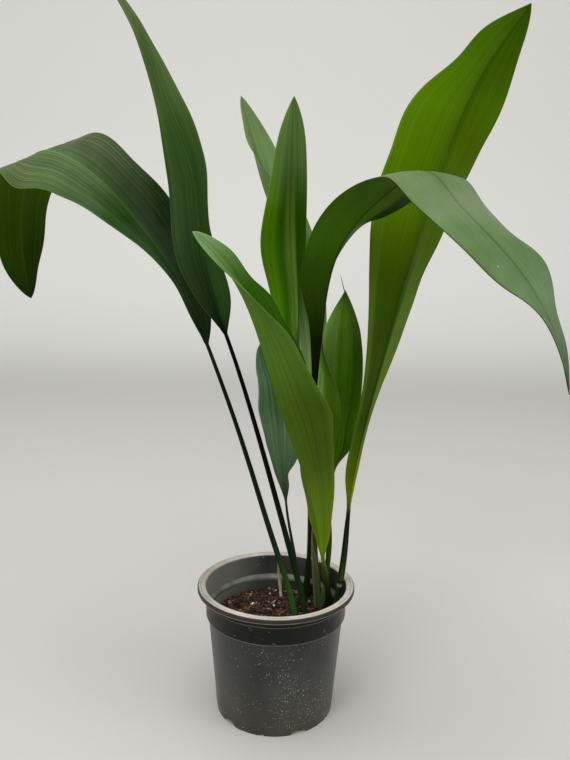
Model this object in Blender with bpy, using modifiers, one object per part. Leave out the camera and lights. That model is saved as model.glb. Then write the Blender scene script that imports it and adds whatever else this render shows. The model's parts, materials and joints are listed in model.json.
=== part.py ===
# A cast-iron plant in a round nursery pot.
#
# Metres, +Z up. The origin is the middle of the pot's underside, where the pot stands.
# +X is to the right and -Y is towards the viewer of the plant's front.
# Every leaf is one solid: its stalk comes out of a hole in the soil and widens into the blade.
# Tables are in millimetres and degrees, and MM turns them into metres.

import math

import bmesh
import bpy
import numpy as np
from mathutils import Vector, noise

MM = 0.001

# Pot: height, and outer radii at the rim, under the rim and at the foot
POT_HEIGHT = 125.0
RIM_RADIUS = 75.6
BAND_RADIUS = 67.4
FOOT_RADIUS = 56.4
FOOT_CHAMFER = 1.2
WALL = 1.5
WALL_TAPER = 0.087
RIM_WIDTH = 7.4
LIP_DEPTH = 4.7
BEAD_HEIGHT = 113.4
BAND_BOTTOM = 96.1
RIDGE_HEIGHT = 10.0
RIDGE = 0.35
INSIDE_BEND = 82.0
LEDGE_TOP = 103.5
LEDGE_BOTTOM = 99.0
LEDGE_RADIUS = 62.2
FLOOR_TOP = 8.0
FLOOR_THICKNESS = 1.6
CENTRE_PAD_RADIUS = 13.0
POT_STEPS = 40

# Scallops and notches in the foot ring, and the drain holes in the floor
FOOT_REPEATS = 5
SCALLOP_AZIMUTH = -66.0
SCALLOP_RADIUS = 9.5
SCALLOP_DEPTH = 5.0
NOTCH_AZIMUTH = -101.5
NOTCH_SIZE = 2.4
DRAIN_HOLE_RADIUS = 4.5
DRAIN_CIRCLE_RADIUS = 38.0

# Soil: its top is a low uneven mound
GAP = 0.3
SOIL_EDGE_HEIGHT = 90.0
SOIL_MOUND = 3.5
SOIL_BUMP = 1.6
SOIL_BUMP_PITCH = 11.0
SOIL_STEPS = 32
SOIL_RINGS = 6
SOIL_SEED_OFFSET = Vector((3.1, 7.7, 0.4))

# Leaves: blade thickness, the stalk's taper up to the blade, and how finely the coarse solid
# is divided
BLADE_THICKNESS = 0.7
RIB_THICKNESS = 1.5
BLADE_CURL = 0.12
STALK_STEP = 34.0
BLADE_STEP = 22.0
FEWEST_SECTIONS = 4
DENSER_AT_ENDS = 0.06
BLADE_COLUMNS = 6
STALK_TAPER = 0.45
SPLINE_SAMPLES = 800
HOLE_CLEARANCE = 0.35
HOLE_TOP_HEIGHT = 104.0
SIDES = {1: "left", -1: "right"}

# Each leaf: spine from its foot in the soil to its tip; facing is the azimuth that the blade's
# underside looks to while the leaf stands upright; stalk is the length before the blade; width is
# half the blade; base and tip are the exponents of the blade's outline. Roll, fold_left and
# fold_right are angles at equal steps from the blade's base to its tip. Edge_left and edge_right
# are factors of the half width on each side, also at equal steps. Wave is the rise of the margins,
# how many waves run along the blade, and their phase.
LEAVES = {
    "leaf_left_arching": dict(
        spine=[(22, -2, 70), (18, -1, 95), (-2, 4, 161), (-32, 15, 252), (-67, 36, 343),
               (-112, 67, 428), (-137, 74, 460), (-205, 104, 525), (-266, 136, 535),
               (-277, 146, 512), (-288, 160, 442), (-280, 158, 386)],
        facing=118, stalk=300, width=48, base=0.75, tip=0.74, radius=3.1,
        roll=(5, 15, -15, -20, -40, 20),
        fold_left=(40, 35, 25, -15, 20, 10),
        fold_right=(35, 20, 50, 5, 5, 0),
        edge_left=(1, 1, 0.75, 1.1, 1.1, 1.1, 1.05, 1.05, 0.95, 1, 1.25, 1.2, 1.1, 1, 1.05, 1.2, 1.2),
        edge_right=(1, 1, 1, 1, 1, 1, 0.95, 0.9, 0.88, 0.93, 1, 1.05, 1.1, 1.12, 1.02, 0.78, 0.9),
        wave=(1.2, 4.5, 20),
    ),
    "leaf_left_upright": dict(
        spine=[(33, 5, 70), (28, 5, 96), (11, 4, 163), (-18, 16, 262), (-47, 27, 350),
               (-76, 41, 441), (-86, 56, 513), (-115, 65, 586), (-137, 70, 643), (-154, 69, 671),
               (-173, 66, 696), (-193, 62, 714)],
        facing=110, stalk=306, width=28, base=0.6, tip=1.2, radius=3.2,
        roll=(15, -35, -30, 15, -10),
        fold_left=(40, 25, 30, 35, 10),
        fold_right=(35, 50, 40, 25, 15),
        edge_left=(1, 1, 1, 0.95, 0.77, 0.57, 0.9, 0.55, 0.8),
        edge_right=(0.5, 1, 1.08, 1.05, 1.03, 1.2, 1.3, 1.15, 1.03, 0.88, 0.77, 0.65, 0.48, 0.5, 0.5, 0.55,
                    0.6),
        wave=(1.0, 4.0, 130),
    ),
    "leaf_centre_upright": dict(
        spine=[(29, 31, 70), (30, 32, 98), (34, 36, 154), (33, 40, 215), (23, 45, 296),
               (17, 52, 400), (13, 52, 453), (11, 53, 497), (10, 56, 585)],
        facing=95, stalk=158, width=33.5, base=1.15, tip=0.9, radius=2.9,
        roll=(5, -30, -30, 5, -10),
        fold_left=(30, 15, 0, 25, 5),
        fold_right=(60, 80, 60, 75, 30),
        edge_left=(1, 1, 1, 1, 1, 1.03, 1.02, 1, 1),
        edge_right=(1, 1, 1, 1, 1, 1.05, 1.05, 1.05, 1.1),
        wave=(1.2, 4.5, 60),
    ),
    "leaf_centre_back": dict(
        spine=[(33, 41, 70), (33, 44, 94), (34, 60, 143), (33, 74, 205), (29, 86, 288),
               (18, 94, 371), (0, 97, 454), (-18, 112, 503), (-43, 110, 596)],
        facing=100, stalk=120, width=36, base=1.3, tip=0.8, radius=2.9,
        roll=(0, 0, 5, 20, -5),
        fold_left=(30, 40, 55, 80, 35),
        fold_right=(30, 20, 15, 20, 20),
        edge_left=(1, 1, 1, 1, 1, 1, 1, 1, 1, 1, 1, 1, 1, 1, 1, 0.55, 0.7),
        edge_right=(1, 1, 1, 1, 1, 1, 1, 1, 1, 1, 1, 1, 1, 1, 1, 0.92, 0.85),
        wave=(1.0, 4.0, 200),
    ),
    "leaf_front_left": dict(
        spine=[(54, 10, 70), (52, 9, 98), (45, -1, 148), (32, -14, 214), (5, -35, 293),
               (-18, -57, 370), (-40, -75, 420), (-68, -94, 453)],
        facing=235, stalk=78, width=46.5, base=1.2, tip=0.8, radius=3.2,
        roll=(0, 5, -30, -40, -50),
        fold_left=(20, 50, 50, 25, 0),
        fold_right=(20, 50, 70, 45, 20),
        edge_left=(1, 1.25, 1.1, 1.1, 1.1, 1.1, 1.1, 1.1, 1.05, 1.03, 1, 1, 1, 1, 0.95, 1, 1),
        edge_right=(1, 1, 1, 0.7, 0.9, 1, 1, 1, 1, 1, 1, 1, 1, 0.75, 0.95, 1.03, 1),
        wave=(1.2, 4.0, 90),
    ),
    "leaf_right_arching": dict(
        spine=[(43, 14, 70), (42, 13, 94), (37, 12, 163), (37, 8, 235), (34, 0, 305),
               (37, -6, 361), (45, -21, 427), (60, -45, 461), (88, -66, 490), (111, -93, 500),
               (126, -110, 481), (149, -131, 452), (178, -140, 417), (195, -150, 383),
               (205, -158, 342)],
        facing=312, stalk=230, width=43.5, base=1.05, tip=1.05, radius=3.3,
        roll=(25, 25, 5, 0, 5, -20),
        fold_left=(25, 35, 15, 5, 10, 20),
        fold_right=(25, 30, 15, -5, 10, 20),
        edge_left=(1, 1, 1, 1, 1, 1, 1, 1, 1, 1, 0.93, 0.9, 0.85, 1.2, 0.7, 1, 1),
        edge_right=(1, 0.75, 0.75, 0.8, 1, 1, 1.05, 1, 1, 1, 1, 1, 1.05, 1.1, 0.85, 1, 1),
        wave=(1.2, 4.5, 150),
    ),
    "leaf_right_tall": dict(
        spine=[(53, -8, 70), (56, -6, 95), (64, 0, 142), (69, 5, 206), (81, 12, 274),
               (98, 15, 347), (114, 18, 411), (131, 14, 473), (149, 8, 538), (182, 16, 609),
               (214, 13, 656)],
        facing=280, stalk=122, width=55, base=1.4, tip=0.92, radius=3.2,
        roll=(10, 45, 40, 5, -10, -40),
        fold_left=(30, 15, 20, 45, 40, 10),
        fold_right=(30, 5, 10, 10, 15, 15),
        edge_left=(1, 1, 0.6, 0.55, 0.8, 0.92, 0.95, 1.02, 0.95, 1.05, 1.05, 1.1, 1, 1, 0.95, 0.9, 1.1),
        edge_right=(1, 1.3, 1, 1, 1, 0.98, 0.97, 0.96, 0.93, 0.95, 0.97, 0.94, 1, 0.95, 0.84, 1.12, 1.1),
        wave=(1.4, 4.5, 10),
    ),
    "leaf_right_small": dict(
        spine=[(48, 27, 70), (50, 29, 98), (52, 34, 155), (54, 38, 208), (56, 40, 245),
               (59, 40, 301), (61, 39, 359), (62, 37, 405)],
        facing=90, stalk=144, width=23.5, base=1.15, tip=0.95, radius=2.4,
        roll=(0, 0, 15, 5, -5),
        fold_left=(30, 20, 15, 10, 10),
        fold_right=(30, 20, 10, 10, 10),
        edge_left=(1, 1, 1, 1, 1, 1, 1.05, 1.1, 0.9),
        edge_right=(1, 0.6, 1, 1.35, 1.15, 1, 1, 1, 1, 1, 0.98, 0.97, 0.97, 1, 1, 1, 1),
        wave=(0.8, 3.0, 45),
    ),
    "leaf_low_left": dict(
        spine=[(26, 18, 70), (24, 20, 102), (18, 23, 143), (9, 22, 194), (6, 20, 257),
               (-4, 17, 321), (-19, 19, 354)],
        facing=90, stalk=127, width=25, base=1.35, tip=0.8, radius=2.1,
        roll=(0, -10, -5, 30, 0),
        fold_left=(30, 15, 10, 15, 10),
        fold_right=(35, 20, 10, 10, 10),
        edge_left=(1, 1, 1, 1, 0.95, 0.93, 0.95, 0.92, 0.9, 0.9, 0.95, 0.97, 0.94, 0.92, 0.93, 0.9, 1),
        edge_right=(1, 1, 0.85, 0.4, 0.75, 0.9, 1, 1, 1, 1, 1, 1, 1, 1, 1, 1, 1),
        wave=(0.8, 3.0, 100),
    ),
    "leaf_young_folded": dict(
        spine=[(44, 21, 70), (47, 20, 98), (53, 19, 161), (46, 15, 233), (47, 15, 283),
               (44, 17, 321), (36, 20, 359), (42, 22, 389)],
        facing=250, stalk=160, width=14, base=1.05, tip=1.0, radius=2.1,
        roll=(5, 5, -25, -50, -20),
        fold_left=(30, 20, 5, 10, 20),
        fold_right=(30, 35, 25, 35, 25),
        edge_left=(1, 1),
        edge_right=(1, 1, 1, 1, 1, 1.1, 1.2, 1.1, 1),
        wave=(0.4, 2.0, 0),
    ),
    "young_sheath": dict(
        spine=[(44, -6, 78), (44, -6, 96), (45, -5, 112), (46, -4, 124)],
        facing=250, stalk=24, width=2.6, base=0.7, tip=0.9, radius=2.0,
        roll=(0, 0, 0),
        fold_left=(30, 30, 20),
        fold_right=(30, 30, 20),
        edge_left=(1, 1),
        edge_right=(1, 1),
        wave=(0.0, 1.0, 0),
    ),
    "dry_stub": dict(
        spine=[(6, 37, 78), (5, 37, 96), (3, 38, 114), (1, 40, 133)],
        facing=270, stalk=22, width=3.0, base=0.5, tip=0.9, radius=2.2,
        roll=(0, 30, 60),
        fold_left=(30, 45, 30),
        fold_right=(30, 45, 30),
        edge_left=(1, 1),
        edge_right=(1, 1),
        wave=(0.0, 1.0, 0),
    ),
}

# Colours: linear RGB, roughness
COLOURS = {
    "pot": ((0.030, 0.030, 0.028), 0.55),
    "soil": ((0.035, 0.020, 0.013), 0.95),
    "leaf_left_arching": ((0.018, 0.055, 0.012), 0.38),
    "leaf_left_upright": ((0.018, 0.050, 0.012), 0.38),
    "leaf_centre_upright": ((0.028, 0.120, 0.008), 0.36),
    "leaf_centre_back": ((0.045, 0.140, 0.020), 0.38),
    "leaf_front_left": ((0.080, 0.190, 0.015), 0.42),
    "leaf_right_arching": ((0.060, 0.130, 0.040), 0.40),
    "leaf_right_tall": ((0.060, 0.150, 0.005), 0.42),
    "leaf_right_small": ((0.030, 0.140, 0.006), 0.35),
    "leaf_low_left": ((0.022, 0.065, 0.028), 0.40),
    "leaf_young_folded": ((0.070, 0.180, 0.015), 0.42),
    "young_sheath": ((0.060, 0.150, 0.030), 0.50),
    "dry_stub": ((0.200, 0.110, 0.060), 0.90),
}


def clear_scene():
    """Remove what the file holds, so that only the plant is left."""
    for old in list(bpy.data.objects):
        bpy.data.objects.remove(old, do_unlink=True)


def new_collection(name):
    group = bpy.data.collections.new(name)
    bpy.context.scene.collection.children.link(group)
    return group


def plain_material(name):
    """One Principled material with the piece's colour and roughness."""
    colour, roughness = COLOURS[name]
    material = bpy.data.materials.new(name)
    material.use_nodes = True
    shader = material.node_tree.nodes["Principled BSDF"]
    shader.inputs["Base Color"].default_value = (*colour, 1.0)
    shader.inputs["Roughness"].default_value = roughness
    shader.inputs["Metallic"].default_value = 0.0
    return material


def mesh_object(name, mesh, group, smooth_angle=math.radians(35)):
    """Put a mesh in the scene as one named, smoothly shaded object."""
    piece = bpy.data.objects.new(name, mesh)
    group.objects.link(piece)
    mesh.shade_smooth()
    mesh.set_sharp_from_angle(angle=smooth_angle)
    if name in COLOURS:
        mesh.materials.append(plain_material(name))
    return piece


def apply_modifiers(piece):
    """Replace the object's mesh with its evaluated one."""
    bpy.context.view_layer.update()
    evaluated = piece.evaluated_get(bpy.context.evaluated_depsgraph_get())
    finished = bpy.data.meshes.new_from_object(evaluated)
    piece.modifiers.clear()
    piece.data = finished


def turned(name, profile, steps, group):
    """Turn a profile of (radius, height) points in millimetres about the Z axis."""
    bm = bmesh.new()
    verts = [bm.verts.new((radius * MM, 0.0, height * MM)) for radius, height in profile]
    for first, second in zip(verts, verts[1:]):
        bm.edges.new((first, second))
    mesh = bpy.data.meshes.new(name)
    bm.to_mesh(mesh)
    bm.free()
    piece = bpy.data.objects.new(name, mesh)
    group.objects.link(piece)
    screw = piece.modifiers.new("turn", "SCREW")
    screw.axis = "Z"
    screw.steps = steps
    screw.render_steps = steps
    screw.use_merge_vertices = True
    screw.merge_threshold = 0.00005
    apply_modifiers(piece)
    outward(piece.data)
    return piece


def outward(mesh):
    """Turn every face of a closed mesh outwards."""
    bm = bmesh.new()
    bm.from_mesh(mesh)
    bmesh.ops.recalc_face_normals(bm, faces=bm.faces)
    bm.to_mesh(mesh)
    bm.free()


def wall_radius(height):
    """Outer radius of the tapering body."""
    return FOOT_RADIUS + 0.1 + WALL_TAPER * height


def outer_profile():
    """Outside of the pot from the rim down to the foot."""
    lip = POT_HEIGHT - LIP_DEPTH
    rim = [
        (RIM_RADIUS - RIM_WIDTH + 0.6, POT_HEIGHT),
        (RIM_RADIUS - 1.2, POT_HEIGHT - 0.1),
        (RIM_RADIUS - 0.2, POT_HEIGHT - 0.7),
        (RIM_RADIUS, POT_HEIGHT - 1.6),
        (RIM_RADIUS, lip + 0.4),
        (RIM_RADIUS - 0.5, lip),
        (RIM_RADIUS - 1.8, lip),
        (BAND_RADIUS + 2.6, lip - 1.2),
        (BAND_RADIUS + 0.4, lip - 4.6),
    ]
    band = [
        (BAND_RADIUS, BEAD_HEIGHT + 0.9),
        (BAND_RADIUS + 0.8, BEAD_HEIGHT + 0.4),
        (BAND_RADIUS + 0.8, BEAD_HEIGHT - 0.4),
        (BAND_RADIUS, BEAD_HEIGHT - 0.9),
        (BAND_RADIUS, BAND_BOTTOM + 0.3),
        (BAND_RADIUS - 0.4, BAND_BOTTOM - 0.5),
        (wall_radius(BAND_BOTTOM - 1.3) + 0.2, BAND_BOTTOM - 1.3),
    ]
    foot = [
        (wall_radius(RIDGE_HEIGHT), RIDGE_HEIGHT + 0.6),
        (wall_radius(RIDGE_HEIGHT) + RIDGE, RIDGE_HEIGHT),
        (wall_radius(RIDGE_HEIGHT) - 0.1, RIDGE_HEIGHT - 0.6),
        (wall_radius(FOOT_CHAMFER), FOOT_CHAMFER),
        (FOOT_RADIUS, 0.0),
    ]
    return rim + band + foot


def under_profile():
    """Underside of the pot from the foot ring in to the middle."""
    inner_foot = FOOT_RADIUS - WALL
    ceiling = FLOOR_TOP - FLOOR_THICKNESS
    return [
        (inner_foot, 0.0),
        (inner_foot + 0.3, ceiling),
        (CENTRE_PAD_RADIUS + 2.2, ceiling),
        (CENTRE_PAD_RADIUS, 0.0),
        (0.0, 0.0),
    ]


def inner_profile():
    """Inside of the pot from the middle of the floor up to the rim."""
    return [
        (0.0, FLOOR_THICKNESS),
        (CENTRE_PAD_RADIUS - 1.0, FLOOR_THICKNESS),
        (CENTRE_PAD_RADIUS + 1.2, FLOOR_TOP),
        (wall_radius(FLOOR_TOP) - WALL - 1.0, FLOOR_TOP),
        (wall_radius(FLOOR_TOP) - WALL, FLOOR_TOP + 1.0),
        (LEDGE_RADIUS - 0.2, INSIDE_BEND),
        (LEDGE_RADIUS, LEDGE_BOTTOM),
        (LEDGE_RADIUS + 3.0, LEDGE_TOP),
        (RIM_RADIUS - RIM_WIDTH - 0.8, POT_HEIGHT - 3.0),
        (RIM_RADIUS - RIM_WIDTH - 0.4, POT_HEIGHT - 0.8),
    ]


def around(repeat, azimuth, radius):
    """Place of one of the evenly spaced repeats round the pot, and its angle."""
    angle = math.radians(azimuth + repeat * 360.0 / FOOT_REPEATS)
    return Vector((radius * MM * math.cos(angle), radius * MM * math.sin(angle), 0.0)), angle


def foot_cutters(group):
    """Cutters of the scallops, the small notches and the drain holes."""
    for repeat in range(FOOT_REPEATS):
        place, angle = around(repeat, SCALLOP_AZIMUTH, FOOT_RADIUS)
        place.z = (SCALLOP_DEPTH - SCALLOP_RADIUS) * MM
        bpy.ops.mesh.primitive_cylinder_add(
            vertices=24, radius=SCALLOP_RADIUS * MM, depth=8 * MM, location=place,
            rotation=(math.pi / 2, 0, angle + math.pi / 2),
        )
        keep_cutter("scallop", repeat, group)
        place, angle = around(repeat, NOTCH_AZIMUTH, FOOT_RADIUS)
        bpy.ops.mesh.primitive_cube_add(size=NOTCH_SIZE * MM * 1.6, location=place,
                                        rotation=(0, 0, angle))
        keep_cutter("notch", repeat, group)
        place, angle = around(repeat, SCALLOP_AZIMUTH, DRAIN_CIRCLE_RADIUS)
        place.z = FLOOR_TOP * MM
        bpy.ops.mesh.primitive_cylinder_add(
            vertices=16, radius=DRAIN_HOLE_RADIUS * MM, depth=6 * MM, location=place,
        )
        keep_cutter("drain", repeat, group)


def keep_cutter(name, repeat, group):
    """Name the cutter just added, hide it from view and move it to the cutters."""
    cutter = bpy.context.object
    cutter.name = f"{name}_cutter_{repeat}"
    hide_cutter(cutter)
    for owner in list(cutter.users_collection):
        owner.objects.unlink(cutter)
    group.objects.link(cutter)


def hide_cutter(cutter):
    cutter.hide_render = True
    cutter.display_type = "WIRE"


def cut_with(piece, cutters):
    """Cut every object of a collection out of the piece."""
    cut = piece.modifiers.new("cut", "BOOLEAN")
    cut.operation = "DIFFERENCE"
    cut.operand_type = "COLLECTION"
    cut.collection = cutters
    cut.solver = "EXACT"


def make_pot(group, cutters):
    profile = outer_profile() + under_profile() + inner_profile()
    profile.append(profile[0])
    pot = turned("pot", profile, POT_STEPS, group)
    pot.data.materials.append(plain_material("pot"))
    pot.data.shade_smooth()
    pot.data.set_sharp_from_angle(angle=math.radians(35))
    foot_cutters(cutters)
    cut_with(pot, cutters)
    return pot


def soil_radius(height):
    """Radius of the soil at a height, clear of the pot's inside."""
    if height < INSIDE_BEND:
        low = wall_radius(FLOOR_TOP) - WALL
        high = LEDGE_RADIUS - 0.2
        part = (height - FLOOR_TOP - 1.0) / (INSIDE_BEND - FLOOR_TOP - 1.0)
        return low + part * (high - low) - 2 * GAP
    return LEDGE_RADIUS - 0.2 - 2 * GAP


def soil_profile():
    """Rounded block of soil, from the middle of its top out and down to the middle of its bottom."""
    edge = soil_radius(SOIL_EDGE_HEIGHT)
    top = [(edge * ring / SOIL_RINGS, SOIL_EDGE_HEIGHT) for ring in range(SOIL_RINGS)]
    side = [(edge, SOIL_EDGE_HEIGHT - 0.8), (edge, INSIDE_BEND),
            (soil_radius(FLOOR_TOP + 2.5), FLOOR_TOP + 2.5),
            (soil_radius(FLOOR_TOP + 2.5) - 2.0, FLOOR_TOP + GAP)]
    bottom = [(CENTRE_PAD_RADIUS + 1.2 - GAP, FLOOR_TOP + GAP),
              (CENTRE_PAD_RADIUS - 1.0 - 2 * GAP, FLOOR_THICKNESS + GAP),
              (0.0, FLOOR_THICKNESS + GAP)]
    return top + side + bottom


def soil_height(x, y):
    """Height of the soil's top above its edge, in millimetres, at a place in millimetres."""
    edge = soil_radius(SOIL_EDGE_HEIGHT)
    inward = max(0.0, 1.0 - (math.hypot(x, y) / edge) ** 2)
    place = Vector((x, y, 0.0)) / SOIL_BUMP_PITCH + SOIL_SEED_OFFSET
    return SOIL_MOUND * inward + SOIL_BUMP * noise.noise(place) * min(1.0, 3.0 * inward)


def make_soil(group, holes):
    soil = turned("soil", soil_profile(), SOIL_STEPS, group)
    lowest_top = (SOIL_EDGE_HEIGHT - 0.1) * MM
    for vert in soil.data.vertices:
        if vert.co.z > lowest_top:
            vert.co.z += soil_height(vert.co.x / MM, vert.co.y / MM) * MM
    soil.data.materials.append(plain_material("soil"))
    soil.data.shade_smooth()
    cut_with(soil, holes)
    return soil


def curve_through(places, values, wanted):
    """Natural cubic curve through values given at places, read at the wanted places."""
    places = np.asarray(places, float)
    values = np.asarray(values, float)
    count = len(places)
    step = np.diff(places)
    slope = np.diff(values, axis=0) / step.reshape((-1,) + (1,) * (values.ndim - 1))
    matrix = np.eye(count)
    right = np.zeros_like(values)
    for i in range(1, count - 1):
        matrix[i, i - 1:i + 2] = (step[i - 1], 2 * (step[i - 1] + step[i]), step[i])
        right[i] = 6 * (slope[i] - slope[i - 1])
    bend = np.linalg.solve(matrix, right)
    wanted = np.clip(wanted, places[0], places[-1])
    i = np.clip(np.searchsorted(places, wanted) - 1, 0, count - 2)
    shape = (-1,) + (1,) * (values.ndim - 1)
    a = ((places[i + 1] - wanted) / step[i]).reshape(shape)
    b = ((wanted - places[i]) / step[i]).reshape(shape)
    cubic = (a**3 - a) * bend[i] + (b**3 - b) * bend[i + 1]
    return a * values[i] + b * values[i + 1] + cubic * (step[i] ** 2).reshape(shape) / 6


def lengths_along(points):
    """Length from the first point to each of the points."""
    return np.concatenate([[0.0], np.cumsum(np.linalg.norm(np.diff(points, axis=0), axis=1))])


def unit(vectors):
    return vectors / np.linalg.norm(vectors, axis=1)[:, None]


def section_lengths(leaf, total):
    """Where along the spine the sections stand: stalk first, then the blade up to its tip."""
    stalk = leaf["stalk"] * MM
    stalk_sections = max(FEWEST_SECTIONS, round(stalk / (STALK_STEP * MM)))
    blade_sections = max(FEWEST_SECTIONS, round((total - stalk) / (BLADE_STEP * MM)))
    low = np.linspace(0.0, stalk, stalk_sections, endpoint=False)
    even = np.linspace(0.0, 1.0, blade_sections + 1)
    eased = even - DENSER_AT_ENDS * np.sin(2 * math.pi * even)
    return np.concatenate([low, stalk + (total - stalk) * eased])


def leaf_frame(leaf):
    """Spine points with their directions across and out of the blade, and how far along each is."""
    knots = np.asarray(leaf["spine"], float) * MM
    knot_lengths = lengths_along(knots)
    fine = curve_through(knot_lengths, knots, np.linspace(0, knot_lengths[-1], SPLINE_SAMPLES))
    fine_lengths = lengths_along(fine)
    total = fine_lengths[-1]
    wanted = section_lengths(leaf, total)
    centre = np.stack([np.interp(wanted, fine_lengths, fine[:, k]) for k in range(3)], 1)
    slopes = np.gradient(fine, fine_lengths, axis=0)
    along = unit(np.stack([np.interp(wanted, fine_lengths, slopes[:, k]) for k in range(3)], 1))
    facing = math.radians(leaf["facing"])
    level = np.array([-math.sin(facing), math.cos(facing), 0.0])
    across = unit(level - (along @ level)[:, None] * along)
    out = np.cross(along, across)
    stalk = leaf["stalk"] * MM
    part = (wanted - stalk) / (total - stalk)
    roll = np.radians(key_curve(leaf["roll"], part))[:, None]
    across, out = (across * np.cos(roll) + out * np.sin(roll),
                   out * np.cos(roll) - across * np.sin(roll))
    return centre, across, out, part, wanted / stalk


def key_curve(keys, part):
    """Smooth curve through keys at equal steps from the blade's base to its tip."""
    return curve_through(np.linspace(0, 1, len(keys)), keys, part)


def outline(leaf, part):
    """Half width of the blade in metres, zero on the stalk and at the tip."""
    inside = np.clip(part, 0.0, 1.0)
    widest = leaf["base"] / (leaf["base"] + leaf["tip"])
    shape = (inside / widest) ** leaf["base"] * ((1 - inside) / (1 - widest)) ** leaf["tip"]
    return leaf["width"] * MM * shape


def stalk_radius(leaf, part, stalk_part):
    """Radius of the stalk, and of the rib that it becomes, in metres."""
    taper = 1.0 - STALK_TAPER * np.clip(stalk_part, 0.0, 1.0)
    return leaf["radius"] * MM * taper * np.clip(1.0 - 0.8 * part, 0.18, 1.0)


def leaf_sections(leaf, clearance=0.0):
    """Closed rings of points, one for each section, upper side first and then the under side."""
    centre, across, out, part, stalk_part = leaf_frame(leaf)
    columns = np.linspace(-1.0, 1.0, BLADE_COLUMNS + 1)
    blade = outline(leaf, part)
    stalk = stalk_radius(leaf, part, stalk_part) + clearance * MM
    flat = np.clip((blade - 0.5 * stalk) / (3 * stalk), 0.0, 1.0)
    halves = {}
    folds = {}
    for side, word in SIDES.items():
        halves[side] = ((blade * key_curve(leaf[f"edge_{word}"], part)) ** 3 + stalk**3) ** (1 / 3)
        folds[side] = np.radians(key_curve(leaf[f"fold_{word}"], part)) * flat
    rise, waves, phase = leaf["wave"]
    rings = []
    for i in range(len(centre)):
        upper = []
        under = []
        for s in columns:
            side = 1 if s >= 0 else -1
            reach = abs(s) * halves[side][i]
            fold = folds[side][i]
            ripple = math.sin(2 * math.pi * waves * part[i] + math.radians(phase + 70 * side))
            lift = rise * MM * ripple * abs(s) ** 3 * blade[i] / (leaf["width"] * MM)
            curl = BLADE_CURL * halves[side][i] * s * s * flat[i]
            point = (centre[i] + across[i] * side * reach * math.cos(fold)
                     + out[i] * (reach * math.sin(fold) - curl + lift))
            thick = half_thickness(leaf, s, part[i], stalk[i], flat[i])
            upper.append(point + out[i] * thick[0])
            under.append(point - out[i] * thick[1])
        rings.append(upper + under[::-1])
    return rings


def half_thickness(leaf, s, part, stalk, flat):
    """Thickness above and below the blade's middle surface at column s, in metres."""
    margin = BLADE_THICKNESS * MM / 2
    round_stalk = stalk * math.sqrt(max(0.0, 1.0 - s * s)) + 0.3 * margin
    rib = RIB_THICKNESS * MM * (1.0 - 0.7 * max(part, 0.0)) if abs(s) < 0.01 else 0.0
    above = (1 - flat) * round_stalk + flat * margin
    below = (1 - flat) * round_stalk + flat * (margin + 0.6 * rib)
    return max(above, margin), max(below, margin)


def loft(name, rings):
    """Closed mesh through rings of points, split into triangles alike on both faces."""
    bm = bmesh.new()
    rows = [[bm.verts.new(point) for point in ring] for ring in rings]
    count = len(rings[0])
    half = count // 2
    for lower, upper in zip(rows, rows[1:]):
        for k in range(count):
            n = (k + 1) % count
            if k < half:
                bm.faces.new((lower[k], lower[n], upper[n]))
                bm.faces.new((lower[k], upper[n], upper[k]))
            else:
                bm.faces.new((lower[k], lower[n], upper[k]))
                bm.faces.new((lower[n], upper[n], upper[k]))
    for row in (rows[0], rows[-1]):
        for k in range(half - 1):
            quad = (row[k], row[k + 1], row[count - 2 - k], row[count - 1 - k])
            bm.faces.new(quad[:3])
            bm.faces.new((quad[0], quad[2], quad[3]))
    bmesh.ops.recalc_face_normals(bm, faces=bm.faces)
    mesh = bpy.data.meshes.new(name)
    bm.to_mesh(mesh)
    bm.free()
    return mesh


def make_hole_cutter(name, leaf, group):
    """The part of a stalk that stands in the soil, a little fatter and a little longer."""
    rings = leaf_sections(leaf, HOLE_CLEARANCE)
    centre = leaf_frame(leaf)[0]
    low = [ring for ring, point in zip(rings, centre) if point[2] < HOLE_TOP_HEIGHT * MM]
    high = rings[len(low)] if len(low) < len(rings) else None
    drop = np.array([0.0, 0.0, -GAP * MM])
    chosen = [[point + drop for point in low[0]]] + low[1:]
    if high is not None:
        chosen.append(high)
    cutter = bpy.data.objects.new(f"{name}_hole", loft(f"{name}_hole", chosen))
    hide_cutter(cutter)
    group.objects.link(cutter)


def build():
    clear_scene()
    plant = new_collection("potted_cast_iron_plant")
    foot = new_collection("foot_cutters")
    holes = new_collection("stalk_holes")
    make_pot(plant, foot)
    for name, leaf in LEAVES.items():
        mesh_object(name, loft(name, leaf_sections(leaf)), plant)
        make_hole_cutter(name, leaf, holes)
    make_soil(plant, holes)


build()
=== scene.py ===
# The looks of a cast-iron plant in a nursery pot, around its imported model.
#
# Metres, +Z up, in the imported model's frame. Tables are in millimetres and degrees, and MM turns
# them into metres. Colours are sRGB from 0 to 255. A pair of places is where a change begins and ends.

import json
import math
import bmesh
import bpy
import numpy as np
from mathutils import Matrix, Vector, noise

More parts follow.
